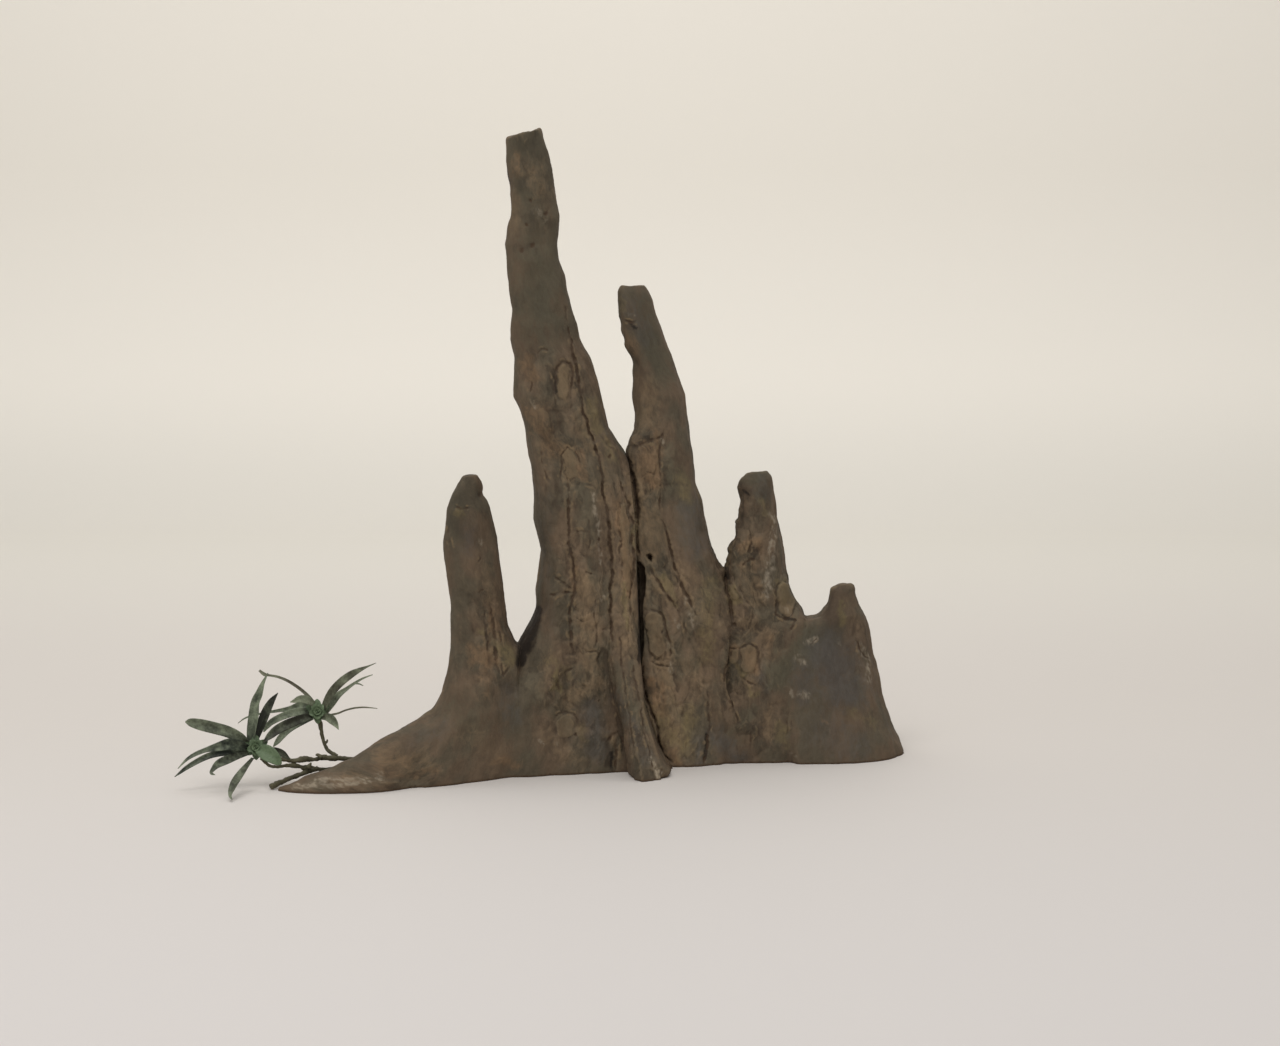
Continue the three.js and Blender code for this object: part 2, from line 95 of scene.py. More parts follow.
# Cracks: (width, depth, points)
CRACKS = [
    # the tall spire
    (1.4, 3.6, [
        (-75, 471), (-74, 461), (-70, 446), (-67, 429), (-64, 414), (-61, 396), (-59, 381), (-57, 364),
        (-51, 346), (-41, 321), (-38, 303), (-36, 283), (-31, 261), (-30, 235), (-28, 217), (-29, 197),
        (-30, 177), (-29, 156), (-28, 131), (-29, 108),
    ]),
    (1.4, 2.6, [
        (-23, 307), (-18, 293), (-11, 276), (-8, 258), (-8, 243), (-7, 228), (-6, 207), (-9, 187),
        (-11, 166), (-11, 146),
    ]),
    (1.4, 2.4, [
        (-73, 301), (-72, 283), (-72, 266), (-72, 248), (-71, 230), (-67, 217), (-66, 200), (-67, 182),
        (-71, 166), (-70, 146), (-68, 126), (-67, 113),
    ]),
    (1.4, 1.9, [(-87, 200), (-81, 197), (-74, 192), (-69, 188)]),
    (1.4, 1.9, [(-92, 181), (-83, 183), (-69, 185)]),
    (1.1, 1.3, [(-79, 298), (-79, 321), (-74, 331), (-65, 326), (-60, 316), (-58, 303)]),
    (1.1, 0.5, [(-70, 273), (-69, 288), (-60, 295), (-48, 293), (-40, 286)]),
    (1.1, 0.4, [(-70, 247), (-55, 247), (-42, 246)]),
    (1.1, 1.3, [(-67, 108), (-80, 99), (-83, 89), (-81, 83)]),
    (1.1, 0.9, [(-88, 50), (-85, 59), (-76, 62), (-66, 59), (-62, 50), (-61, 42)]),
    (1.7, 2.3, [(-33, 32), (-29, 39), (-22, 40), (-17, 32), (-16, 17)]),
    (1.4, 1.7, [(-24, 30), (-24, 2)]),
    (1.4, 1.7, [(-10, 20), (-10, 0)]),
    (1.4, 1.7, [
        (-84, 374), (-86, 384), (-85, 406), (-82, 413), (-77, 416), (-70, 415), (-67, 409), (-68, 399),
        (-70, 381),
    ]),
    (1.1, 0.9, [(-104, 425), (-99, 430), (-91, 428)]),
    (1.1, 1.2, [(-109, 399), (-109, 386)]),
    (1.1, 1.2, [(-40, 346), (-33, 336), (-25, 324)]),
    (1.1, 1.0, [(-52, 262), (-50, 240), (-53, 226)]),
    (1.1, 1.0, [(-60, 214), (-55, 205), (-47, 203)]),
    (1.1, 1.2, [(-44, 180), (-46, 160), (-43, 143), (-45, 126)]),
    (1.1, 0.9, [(-66, 160), (-58, 154), (-50, 157)]),
    (1.1, 1.0, [(-62, 130), (-54, 124), (-44, 124), (-38, 118)]),
    (1.1, 1.0, [(-100, 330), (-97, 310), (-92, 296)]),
    (1.1, 0.9, [(-20, 250), (-19, 230), (-21, 212)]),
    # the deep parting between the tall and the second spire
    (2.5, 6.0, [(-14, 326), (-12, 316), (-7, 303), (-4, 288), (-3, 273), (-3, 261)]),
    (1.4, 3.4, [(-3, 261), (-3, 248), (-4, 238), (-1, 222)]),
    (1.2, 4.2, [(1.5, 116), (2, 100), (3, 90), (8, 74), (13, 61), (17, 46), (20, 30), (25, 17), (32, 10)]),
    # the front root
    (1.1, 1.3, [(-22, 150), (-19, 110), (-13, 70), (-8, 36), (-2, 4)]),
    (1.1, 1.2, [(-9, 128), (-5, 95), (2, 60), (8, 30), (11, 0)]),
    (1.1, 1.0, [(-29, 124), (-26, 84), (-21, 44)]),
    (1.1, 1.7, [(12, 14), (14, 0), (15, -12)]),
    (1.1, 1.4, [(22, 6), (21, -4), (22, -13)]),
    # the second spire
    (1.2, 2.0, [(5, 165), (11, 167), (19, 164), (24, 156), (27, 143), (31, 129), (33, 114)]),
    (1.4, 3.0, [
        (20, 258), (26, 248), (31, 230), (33, 217), (36, 207), (41, 196), (46, 183), (51, 173), (56, 161),
    ]),
    (1.4, 2.6, [(9, 211), (15, 200), (23, 187), (33, 174), (38, 166)]),
    (1.1, 1.2, [(23, 346), (21, 334), (20, 319), (20, 298), (19, 281), (20, 261)]),
    (1.4, 1.4, [(-8, 331), (0, 334), (10, 338), (20, 341), (24, 348)]),
    (1.1, 1.3, [(8, 115), (20, 109), (33, 109)]),
    (1.1, 1.2, [(68, 82), (70, 61), (70, 38)]),
    (1.7, 2.8, [(70, 40), (68, 23), (65, 8)]),
    (1.1, 1.3, [(-16, 458), (-9, 455), (-4, 457)]),
    (1.1, 1.0, [(2, 300), (8, 306), (15, 304)]),
    (1.1, 1.0, [(44, 155), (47, 140), (52, 132)]),
    (1.1, 0.9, [(30, 90), (36, 78), (38, 62)]),
    # the parting between the second and the right spire
    (1.3, 3.2, [(87, 214), (87, 197), (87, 187), (91, 174), (94, 156)]),
    (1.2, 2.0, [(87, 133), (88, 113), (85, 95), (86, 79), (93, 69), (98, 56), (100, 50)]),
    # the right spire
    (1.4, 1.9, [(102, 211), (111, 218), (116, 219)]),
    (1.1, 1.1, [(148, 196), (140, 193), (138, 180), (138, 162), (146, 158), (157, 159)]),
    (1.1, 1.3, [(87, 129), (101, 127), (111, 131), (119, 126), (121, 113)]),
    (1.1, 1.4, [(104, 97), (110, 91), (118, 88)]),
    (1.4, 2.2, [(92, 71), (96, 62), (100, 51)]),
    (1.1, 1.4, [(112, 41), (112, 29)]),
    (1.1, 1.2, [(110, 250), (112, 236), (109, 222)]),
    # the outer spire
    (1.1, 1.6, [(221, 136), (223, 126), (229, 117), (235, 115)]),
    (1.1, 1.2, [(180, 138), (172, 132)]),
    (1.2, 1.6, [(166, 158), (167, 147)]),
    (1.1, 1.4, [(158, 158), (152, 146)]),
    (1.2, 1.4, [(150, 64), (149, 40)]),
    # the left spire
    (1.7, 2.2, [(-152, 172), (-149, 156), (-148, 141), (-147, 120), (-144, 102)]),
    (1.1, 1.4, [(-157, 166), (-156, 145), (-154, 120)]),
    (1.1, 1.2, [(-144, 158), (-142, 140), (-140, 124)]),
    (1.1, 1.2, [(-158, 189), (-162, 184), (-155, 182)]),
    (1.1, 1.2, [(-160, 223), (-164, 210), (-168, 203)]),
    (1.1, 1.4, [(-191, 255), (-193, 245), (-192, 234), (-189, 228)]),
    (1.1, 1.2, [(-187, 272), (-181, 269), (-172, 271)]),
    (1.1, 1.4, [(-141, 115), (-139, 100), (-132, 107)]),
]
# Pits: (x, z, radius, depth)
PITS = [
    (10, 219, 2.2, 12.0), (-65, 38, 1.8, 2.0), (-117, 528, 3.0, 1.2), (-107, 532, 2.4, 1.5),
    (-108, 577, 1.8, 1.4), (-94, 564, 2.2, 1.8), (-112, 553, 1.6, 1.2), (-42, 238, 1.5, 1.6),
    (-7, 241, 1.6, 1.6), (86, 216, 3.6, 5.0), (95, 152, 2.0, 2.5), (-20, 235, 1.4, 1.4),
    (-30, 322, 1.6, 1.6),
]
# Notches in the outline: (x, z, radius, depth); a knob has a depth below nought.
NOTCHES = [
    (101, 279, 8, 2.6), (97, 300, 6, -1.0), (96, 266, 5, 1.2), (93, 257, 4, -0.6), (95, 243, 5, 2.0),
    (91, 226, 5, 1.8), (-17, 456, 6, 2.4), (-14, 441, 6, 1.8), (-8, 420, 7, 2.0), (-2, 399, 6, 1.6),
    (2, 374, 7, 1.4), (-15, 448, 4, -1.0), (-157, 284, 6, 2.2), (-168, 296, 6, -0.8), (231, 121, 7, 2.0),
    (-128, 592, 7, 1.2), (-126, 552, 8, -1.2), (-126, 500, 9, 1.4), (-86, 545, 8, -1.2),
    (-88, 470, 8, 1.2), (-120, 352, 8, 1.4), (137, 232, 6, 1.4), (130, 262, 6, 1.2), (-218, 180, 9, 1.4),
    (-150, 150, 7, 1.2), (47, 240, 8, 1.2), (38, 300, 8, -1.0), (192, 189, 4, -2.0), (214, 190, 4, -2.2),
    (184, 176, 6, 2.0), (178, 164, 6, 2.0), (268, 21, 7, -1.0), (26, -8, 5, 4.0), (-11, -8, 5, 3.0),
    (31, 1, 6, -4.0), (214, 150, 6, 1.0), (240, 80, 8, 1.0), (85, 206, 4, -3.5), (97, 257, 2.5, -1.4),
    (88, 229, 3, -1.6), (92, 240, 2.5, 1.2), (-14, 434, 3, -1.4), (-37, 343, 2.5, -1.4),
    (-31, 335, 2.5, 1.2), (-26, 329, 3, -1.2), (-157, 285, 3, 1.4), (-4, 190, 9, 1.6),
]
# Raised plates of bark: (height, half width, points down the middle)
PLATES = [
    (1.6, 6.0, [(-77, 408), (-77, 384)]),
    (1.2, 7.0, [(-72, 326), (-68, 306)]),
    (2.4, 8.5, [(14, 157), (18, 126)]),
    (2.2, 8.5, [(147, 187), (148, 169)]),
    (1.6, 8.5, [(110, 122), (110, 110)]),
    (1.0, 5.0, [(96, 122), (94, 116)]),
    (0.8, 9.0, [(-76, 50), (-76, 44)]),
    (1.2, 4.5, [(-17, 270), (-12, 190)]),
    (1.2, 4.0, [(26, 198), (35, 176)]),
    (1.0, 4.0, [(93, 189), (96, 180)]),
]
# The slot beside the parting, in the second spire: its outline, and how far in it goes
SLOT_KNEE = "second_spire"
SLOT = [
    (-12, 213), (0, 216), (5, 210), (5.5, 180), (3, 167), (3, 158), (4.5, 148), (4.5, 126), (2, 106),
    (-12, 98),
]
SLOT_DEPTH = 26.0
SLOT_LEAD = 60.0  # how far before the bark the blade that cuts it starts

# Where the bark is rough: (half width, roughness, x, z, x, z); elsewhere the wood is worn smooth.
ROUGH_BANDS = [
    (24, 1.0, -54, 230, -52, 95), (12, 0.9, -18, 290, -14, 130), (20, 0.9, 12, 330, 12, 290),
    (22, 1.0, 24, 190, 22, 70), (24, 1.0, 106, 250, 108, 90), (22, 0.7, -80, 400, -70, 290),
    (26, 0.7, -84, 90, -40, 30), (24, 0.8, 46, 90, 46, 20), (20, 0.6, 90, 60, 130, 30),
    (18, 0.5, 68, 190, 62, 110), (16, 0.5, -158, 175, -148, 105), (16, 0.6, -290, -6, -215, 6),
    (14, 0.7, -12, 130, 8, 10), (12, 0.6, 150, 190, 140, 110), (10, 0.5, 226, 132, 234, 95),
    (12, 0.4, -112, 640, -100, 560),
]

# Where the wood is lighter or darker as a whole, partly its own tone and partly painted light and shade
# (darker tops, lighter lower parts, a highlight along the toe): (half width, how much lighter, x, z, x, z)
LIGHT_BANDS = [
    (20, 0.12, -50, 260, -46, 120), (12, 0.3, -16, 280, -12, 140), (28, 0.34, 40, 120, 40, 35),
    (18, 0.14, 42, 270, 56, 180), (22, -0.08, -108, 470, -90, 340), (20, -0.10, -2, 490, 8, 420),
    (18, -0.12, 114, 306, 116, 285), (18, -0.2, -178, 300, -176, 250), (12, -0.07, -92, 270, -90, 150),
    (22, -0.12, 104, 60, 112, 20), (26, 0.04, 200, 50, 206, 20), (13, -0.26, 198, 188, 192, 158),
    (9, -0.1, 212, 186, 218, 168), (12, 0.16, 110, 130, 112, 105), (10, 0.2, 147, 190, 150, 168),
    (26, 0.08, -90, 60, -40, 20), (7, 0.3, -352, -14, -268, -8), (3, 0.5, 13, 12, 20, -5),
    (11, -0.1, -22, 90, 6, 20), (22, 0.05, -160, 90, -190, 30),
]
# Tints brushed on the wood, in the order they are laid, with painted shade among them in shadow and in part
# of dark: (half width, strength, x, z, x, z)
TINTS = {
    "olive": [
        (24, 0.8, -112, 635, -100, 450), (12, 0.8, -100, 476, -82, 456), (12, 0.6, -62, 288, -58, 240),
        (6, 0.7, -52, 216, -48, 194), (10, 0.5, -112, 96, -105, 74), (10, 0.8, -24, 104, -10, 58),
        (9, 0.7, 30, 330, 34, 288), (8, 0.9, 32, 68, 43, 44), (7, 0.8, 103, 298, 128, 303),
        (12, 0.8, 112, 62, 98, 44), (15, 1.0, 140, 100, 172, 138), (12, 0.8, -186, 280, -190, 240),
        (18, 0.6, -190, 72, -166, 42), (14, 0.5, -130, 60, -122, 20), (4, 0.7, 25, 148, 31, 126),
        (6, 0.6, 150, 80, 150, 50), (14, 0.8, 4, 480, 20, 400), (12, 0.6, 125, 300, 128, 270),
    ],
    "grey": [
        (24, 1.0, 192, 122, 206, 84), (26, 0.6, 190, 44, 214, 30), (14, 0.7, 168, 110, 168, 80),
        (13, 0.8, -48, 64, -44, 22), (8, 0.6, -26, 78, 10, 14), (10, 0.6, -10, 476, 4, 438),
        (15, 0.7, 50, 270, 56, 232), (8, 0.7, 60, 32, 60, 10), (12, 0.8, 78, 36, 98, 14),
        (9, 0.6, 122, 294, 126, 280), (9, 0.6, -172, 246, -172, 230), (11, 0.6, -136, 84, -128, 52),
        (10, 0.5, -232, 34, -200, 44), (9, 0.6, 120, 106, 124, 84), (10, 0.4, -96, 282, -92, 150),
    ],
    # Partly dark bark, partly painted shade: in the fork, beside plates, in notches and over the spires'
    # tops
    "dark": [
        (6, 1.0, -106, 162, -121, 112), (4, 1.0, -112, 140, -121, 116), (5, 0.7, -84, 300, -82, 268),
        (3, 0.7, -88, 412, -88, 386), (3.5, 0.7, -65, 408, -62, 384), (4, 0.5, -108, 396, -108, 384),
        (5, 0.8, -10, 334, 8, 338), (4, 0.6, -3, 413, 6, 405), (4, 0.6, -14, 456, -4, 449),
        (3, 0.7, -27, 216, -27, 194), (6, 0.8, 104, 292, 112, 285), (6, 0.7, 103, 260, 95, 236),
        (6, 0.6, 192, 184, 194, 160), (4, 0.8, -35, 34, -30, 8), (4, 0.5, 148, 62, 146, 44),
        (5, 0.5, -366, -10, -338, -6), (3, 0.6, -124, 531, -107, 528), (4, 0.7, 88, 206, 88, 186),
        (22, 0.45, -108, 636, -104, 560), (12, 0.5, 196, 186, 196, 150), (12, 0.4, -180, 284, -184, 250),
    ],
    "tan": [
        (14, 0.6, -106, 606, -96, 588), (6, 0.6, -126, 582, -123, 550), (6, 0.9, -77, 411, -76, 384),
        (6, 0.7, -62, 364, -54, 328), (7, 0.9, -75, 329, -69, 302), (12, 0.8, -56, 192, -50, 150),
        (12, 0.7, -54, 140, -50, 106), (9, 0.8, -74, 76, -44, 92), (3, 0.8, -25, 36, -24, 10),
        (12, 0.7, 8, 392, 8, 360), (9, 0.9, 0, 310, 3, 284), (14, 0.8, 8, 262, 12, 228),
        (6, 0.8, 14, 200, 23, 178), (7, 0.7, 14, 156, 20, 128), (14, 0.6, 48, 112, 60, 88),
        (10, 0.7, 114, 196, 119, 178), (9, 0.8, 108, 152, 128, 140), (8, 0.7, 104, 93, 118, 86),
        (7, 0.7, 130, 62, 132, 38), (8, 0.25, 190, 54, 194, 40), (8, 0.6, -156, 212, -151, 178),
        (10, 0.7, -226, 16, -212, 4), (12, 0.7, -262, 18, -236, 8), (10, 0.6, -100, 40, -60, 8),
        (16, 0.6, 46, 200, 66, 150), (9, 0.6, -40, 300, -36, 280), (12, 0.8, 22, 112, 36, 24),
        (10, 0.8, -15, 200, -12, 130), (14, 0.5, -178, 40, -146, 20), (12, 0.5, -90, 120, -96, 90),
        (6, 1.0, 146, 170, 151, 164),
    ],
    "orange": [
        (5, 0.6, -123, 622, -121, 600), (7, 0.8, -114, 416, -106, 402), (12, 0.8, -106, 366, -86, 328),
        (5, 0.8, -62, 326, -57, 300), (6.5, 1.0, -22, 278, -17, 240), (5.5, 1.0, -17, 240, -12, 186),
        (3, 0.9, -67, 210, -66, 190), (9, 1.0, 10, 326, 12, 298), (4, 0.9, 14, 346, 21, 335),
        (5, 1.0, 12, 92, 17, 64), (4, 0.9, 23, 92, 25, 60), (4, 0.8, 34, 20, 39, 10),
        (7, 0.9, 104, 230, 118, 236), (6, 0.7, 104, 208, 117, 213), (7, 1.0, 112, 124, 114, 107),
        (5, 0.8, 96, 126, 91, 118), (5, 0.6, 133, 136, 132, 120), (7, 0.6, -150, 168, -146, 140),
        (10, 1.0, -166, 122, -150, 116), (7, 0.6, -156, 102, -158, 80), (9, 0.6, -264, 8, -236, 12),
        (4, 0.6, -280, -4, -206, -2), (6, 0.8, -146, 12, -124, 6), (3, 0.6, 185, 54, 190, 50),
        (6, 0.6, -12, 442, -5, 425), (5, 0.6, -112, 374, -104, 368), (3, 0.8, -152, 160, -149, 118),
        (6, 0.6, -300, -6, -282, -4),
    ],
    "ochre": [
        (8, 0.8, -50, 376, -44, 350), (5, 0.7, -33, 336, -25, 320), (2.5, 0.9, -5, 263, -4, 238),
        (4, 1.0, -84, 99, -84, 82), (2.5, 0.8, -17, 190, -13, 150), (5, 0.6, -62, 46, -58, 34),
        (8, 0.7, 42, 302, 46, 284), (4, 0.9, 24, 201, 37, 172), (9, 0.65, 73, 196, 66, 116),
        (9, 0.75, 49, 64, 46, 22), (4, 0.7, 124, 276, 126, 264), (5, 1.0, 92, 190, 97, 178),
        (6, 0.8, 144, 190, 147, 178), (4, 0.8, 95, 111, 105, 100), (5, 0.7, 142, 46, 150, 28),
        (5, 0.9, 204, 172, 206, 158), (5, 0.6, 212, 60, 238, 52), (3, 0.8, -185, 266, -179, 262),
        (3, 0.9, -166, 146, -159, 143), (7, 0.9, -140, 129, -132, 114), (4, 0.5, -21, 478, -16, 470),
        (3, 0.7, 110, 84, 120, 78), (8, 0.7, 20, 60, 34, 30), (7, 0.6, -90, 112, -76, 104),
    ],
    "shadow": [
        (7.5, 1.0, -106, 164, -110, 148), (9, 1.0, -111, 148, -116, 130), (5.5, 1.0, -119, 128, -121, 112),
        (2.5, 0.9, 87, 210, 88, 200), (2, 0.8, -12, 324, -8, 308), (1.6, 0.7, -5, 296, -3, 262),
        (2, 0.8, 104, 287, 110, 283), (1.6, 0.7, -10, 455, -4, 451), (2, 0.7, 148, 158, 156, 157),
        (2, 0.6, -30, 20, -28, 2), (1.4, 0.6, -84, 398, -84, 386), (1.6, 1.0, -2, 210, -1, 112),
        (2.5, 0.8, -12, 322, -5, 300), (2, 0.7, 68, 38, 66, 12),
    ],
    "pale": [
        (4, 0.7, -102, 566, -95, 560), (2.5, 0.7, -109, 379, -104, 371), (2.5, 0.8, -46, 284, -42, 250),
        (2, 0.8, -42, 250, -40, 214), (2, 0.7, -38, 181, -48, 164), (2, 0.7, -103, 32, -98, 28),
        (2, 0.6, -84, 30, -80, 26), (2.5, 1.0, 12, 14, 20, -6), (1.6, 1.0, 17, 8, 24, -4),
        (2, 0.7, 22, 343, 25, 337), (4, 0.7, 48, 176, 56, 148), (2, 0.9, 36, 156, 40, 149),
        (3, 0.6, 30, 113, 33, 105), (3, 0.8, 133, 263, 137, 257), (2, 1.0, 132, 241, 130, 227),
        (5, 1.0, 133, 216, 127, 182), (4, 0.7, 134, 250, 134, 222), (2.5, 0.8, 145, 169, 152, 162),
        (3.5, 1.0, 169, 133, 178, 137), (4, 0.9, 160, 118, 167, 113), (3, 0.6, 200, 139, 203, 132),
        (3.5, 1.0, 223, 128, 233, 118), (3, 1.0, 231, 111, 232, 95), (3, 0.9, 151, 87, 156, 78),
        (3, 0.9, 162, 80, 171, 77), (2, 0.7, 153, 18, 157, 15), (2.5, 0.7, -161, 238, -158, 231),
        # The pale strip along the toe's lower edge: partly worn wood and partly a painted highlight
        (3.5, 1.0, -352, -15, -304, -14), (4.5, 1.0, -302, -12, -266, -6), (3, 0.9, -330, -8, -300, -8),
        (1.6, 0.9, -332, -8, -316, -11), (2, 0.6, -10, 463, -6, 461),
    ],
}
# The sides and the back, which the photograph doesn't show, have scattered patches of the same tints
PATCH_STRENGTH = 0.8
PATCH_SIZE = [18, 18, 40]  # across, across and along the grain
SCATTER = {"shadow": 0.0, "pale": 0.25, "orange": 0.6, "ochre": 0.6}  # tints with weaker patches
# Tints whose strokes wander less than the others
FINE_TINTS = {"shadow": 0.3, "pale": 0.45}
TONES = {
    "olive": (80, 75, 60), "grey": (77, 73, 68), "dark": (60, 49, 39), "tan": (112, 94, 72),
    "orange": (113, 91, 68), "ochre": (108, 95, 67), "shadow": (26, 20, 15), "pale": (138, 127, 110),
}


# Noise


PRIMES = np.array([374761393, 668265263, 2246822519])
SEED_PRIME = 3266489917


def stirred(n):
    """A whole number well mixed into another."""
    n = (n ^ (n >> 13)) & 0xFFFFFFFF
    n = (n * 1274126177) & 0xFFFFFFFF
    return n ^ (n >> 16)


def chance(key, seed):
    """A repeatable number from 0 to 1 for a key, which is a cell's whole numbers times PRIMES, summed."""
    return (stirred(key + seed * SEED_PRIME) & 0xFFFF) / 0xFFFF


SLOPES = np.array([s for s in itertools.product((-1, 0, 1), repeat=3) if sum(map(abs, s)) == 2], float)


def noise(points, seed):
    """Smooth noise, from about -1 to 1, with features about one unit across."""
    cell = np.floor(points).astype(np.int64)
    part = points - cell
    ease = (part**3 * (part * (part * 6 - 15) + 10)).T
    key = cell @ PRIMES + seed * SEED_PRIME
    total = np.zeros(len(points))
    for corner in itertools.product((0, 1), repeat=3):
        slope = SLOPES[stirred(key + np.dot(corner, PRIMES)) % len(SLOPES)]
        weight = 1.0
        for step, share in zip(corner, ease):
            weight = weight * (share if step else 1 - share)
        total += weight * np.einsum("ij,ij->i", slope, part - corner)
    return total * 1.4


def noises(points, *seeds):
    """Smooth noise for each of several seeds, side by side."""
    return np.column_stack([noise(points, seed) for seed in seeds])


def eased(low, high, value):
    """0 at low, 1 at high, and smooth between; low may be the larger."""
    t = np.clip((value - low) / (high - low), 0, 1)
    return t * t * (3 - 2 * t)


def flakes(points, seed, layers):
    """Overlapping flakes, each sloping down to a step: their height, and how near a step's foot."""
    field = layers * (noise(points, seed) + 0.45 * noise(points * 2.1, seed + 1))
    part = field - np.floor(field)
    height = eased(0.74, 1.0, part) - part
    return height, np.exp(-(((part - 0.76) / 0.09) ** 2))


def scales(points, seed):
    """Scattered tilted cells: how far each point is from its cell's edge, its height and its tint."""
    cell = np.floor(points).astype(np.int64)
    base = cell @ PRIMES
    first = np.full(len(points), 9.0)
    second = first.copy()
    lift = np.zeros(len(points))
    tint = np.zeros(len(points))
    for step in itertools.product((-1, 0, 1), repeat=3):
        key = base + np.dot(step, PRIMES)
        spot = cell + step + np.column_stack([chance(key, seed + i) for i in range(3)])
        away = np.linalg.norm(points - spot, axis=1)
        closer = away < first
        second = np.where(closer, first, np.minimum(second, away))
        first = np.minimum(first, away)
        own = key[closer]
        lean = np.column_stack([chance(own, seed + i) for i in (5, 6, 7)]) - 0.5
        lift[closer] = chance(own, seed + 3) + 1.2 * np.einsum("ij,ij->i", (points - spot)[closer], lean)
        tint[closer] = chance(own, seed + 4)
    return second - first, lift, tint


def splits(points, seed, width):
    """Thin wandering lines where smooth noise is nought, kept only here and there."""
    line = np.exp(-((noise(points, seed) / width) ** 2))
    return line * eased(0.05, 0.35, noise(points / 1.7, seed + 1))


# Places in the front view


def front_view(points):
    """Where each point, in millimetres from the target, is seen on the upright plane through the target."""
    nearness = CAMERA_BACK / (CAMERA_BACK + points[:, 1])
    x = points[:, 0] * nearness
    z = CAMERA_HEIGHT + (points[:, 2] - CAMERA_HEIGHT) * nearness
    return np.stack([x, z], axis=1)


def close_to(seen, line, reach):
    """Which points are within reach of a line, how far from it, and how near to an end of it."""
    line = np.array(line, float)
    inside = (seen > line.min(axis=0) - reach) & (seen < line.max(axis=0) + reach)
    which = np.flatnonzero(inside.all(axis=1))
    near = seen[which]
    nearest = np.full(len(which), 1e9)
    place = np.zeros(len(which))
    passed = 0.0
    for start, end in zip(line, line[1:]):
        along = end - start
        length = np.hypot(*along)
        share = np.clip((near - start) @ along / length**2, 0, 1)
        away = np.linalg.norm(near - start - share[:, None] * along, axis=1)
        place = np.where(away < nearest, passed + share * length, place)
        nearest = np.minimum(nearest, away)
        passed += length
    return which, nearest, np.minimum(place, passed - place) / passed


BRUSH_SOFTNESS = 2.1  # how far a stroke fades out, as a share of its half width
SHADOW_SOFTNESS = 1.6  # the same for the painted shade, the shadow tint
SHADOW_FULLNESS = 2.0  # how much of a stroke of painted shade is full strength


def brushed(seen, strokes, softness=BRUSH_SOFTNESS):
    """How strongly each seen point lies under a list of brush strokes, from 0 to 1."""
    total = np.zeros(len(seen))
    for half, strength, x, z, end_x, end_z in strokes:
        which, away, _ = close_to(seen, [(x, z), (end_x, end_z)], softness * half)
        total[which] = np.maximum(total[which], strength * eased(softness * half, 0, away))
    return total


def broad_light(seen):
    """How much lighter the wood is as a whole at each seen point, partly painted light and shade."""
    return sum(gain * brushed(seen, [(half, 1.0, *line)]) for half, gain, *line in LIGHT_BANDS)


# The grain of the wood


FORK = 110.0  # the height above which the spires lean their own ways
TOE_TURN = (-262.0, 62.0)  # (x, z) round which the grain turns from upright to lying along the toe
AXIS_STEPS = 14  # the number of heights at which a spire's middle is measured
AXIS_BAND = 18.0  # how far over and under each height its corners are looked at
AXIS_TOP = 4.0  # how far under the spire's top the last height is
SPIRE_REACH = 30.0  # how far to the side of its middle line a spire's own lean holds
TOP_REACH = 20.0  # the same over its top


def spire_axes():
    """Each spire's middle line, from the target: heights, x and y of the middle, and the spire's top."""
    axes = []
    for name in SPIRES:
        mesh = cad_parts[name].data
        corners = np.array([v.co for v in mesh.vertices]) / MM - TARGET
        top = corners[:, 2].max()
        heights = np.linspace(0, top - AXIS_TOP, AXIS_STEPS)
        middles = []
        for height in heights:
            band = corners[np.abs(corners[:, 2] - height) < AXIS_BAND]
            middles.append((band.min(axis=0) + band.max(axis=0)) / 2)
        middles = np.array(middles)
        axes.append((heights, middles[:, 0], middles[:, 1], top))
    return axes


def grain_of(points, axes):
    """Each point's place in the grain, which runs up the leaning spires and bends over along the toe."""
    weights = []
    leans = []
    above_fork = np.maximum(points[:, 2], FORK)
    for heights, xs, ys, top in axes:
        x = np.interp(points[:, 2], heights, xs)
        lean = [np.interp(above_fork, heights, v) - np.interp(FORK, heights, v) for v in (xs, ys)]
        leans.append(np.stack(lean, axis=1))
        over = np.maximum(0, points[:, 2] - top)
        weights.append(np.exp(-((points[:, 0] - x) / SPIRE_REACH) ** 2 - (over / TOP_REACH) ** 2) + 1e-9)
    weights = np.array(weights)
    weights /= weights.sum(axis=0)
    straight = points.copy()
    straight[:, :2] -= np.einsum("ki,kij->ij", weights, np.array(leans))
    x = straight[:, 0] - TOE_TURN[0]
    z = straight[:, 2] - TOE_TURN[1]
    radius = np.hypot(x, z)
    turn = np.arctan2(np.maximum(-z, 0), np.maximum(x, 1e-6))
    across = np.where(z >= 0, x, np.where(x > 0, radius, -z))
    along = np.where(z >= 0, z, np.where(x > 0, -radius * turn, x + z * math.pi / 2))
    return np.stack([across, straight[:, 1], along], axis=1)


# The bark


# How large the bark's features are: across, across and along the grain
LARGE_FLAKES = [17, 17, 40]
SMALL_FLAKES = [8, 8, 17]
SCALE_CELLS = [12, 12, 17]
SPLITS = [10, 10, 120]
BREAKS = [12, 12, 20]
WARP = [3.5, 3.5, 8]  # how far the features are bent out of line
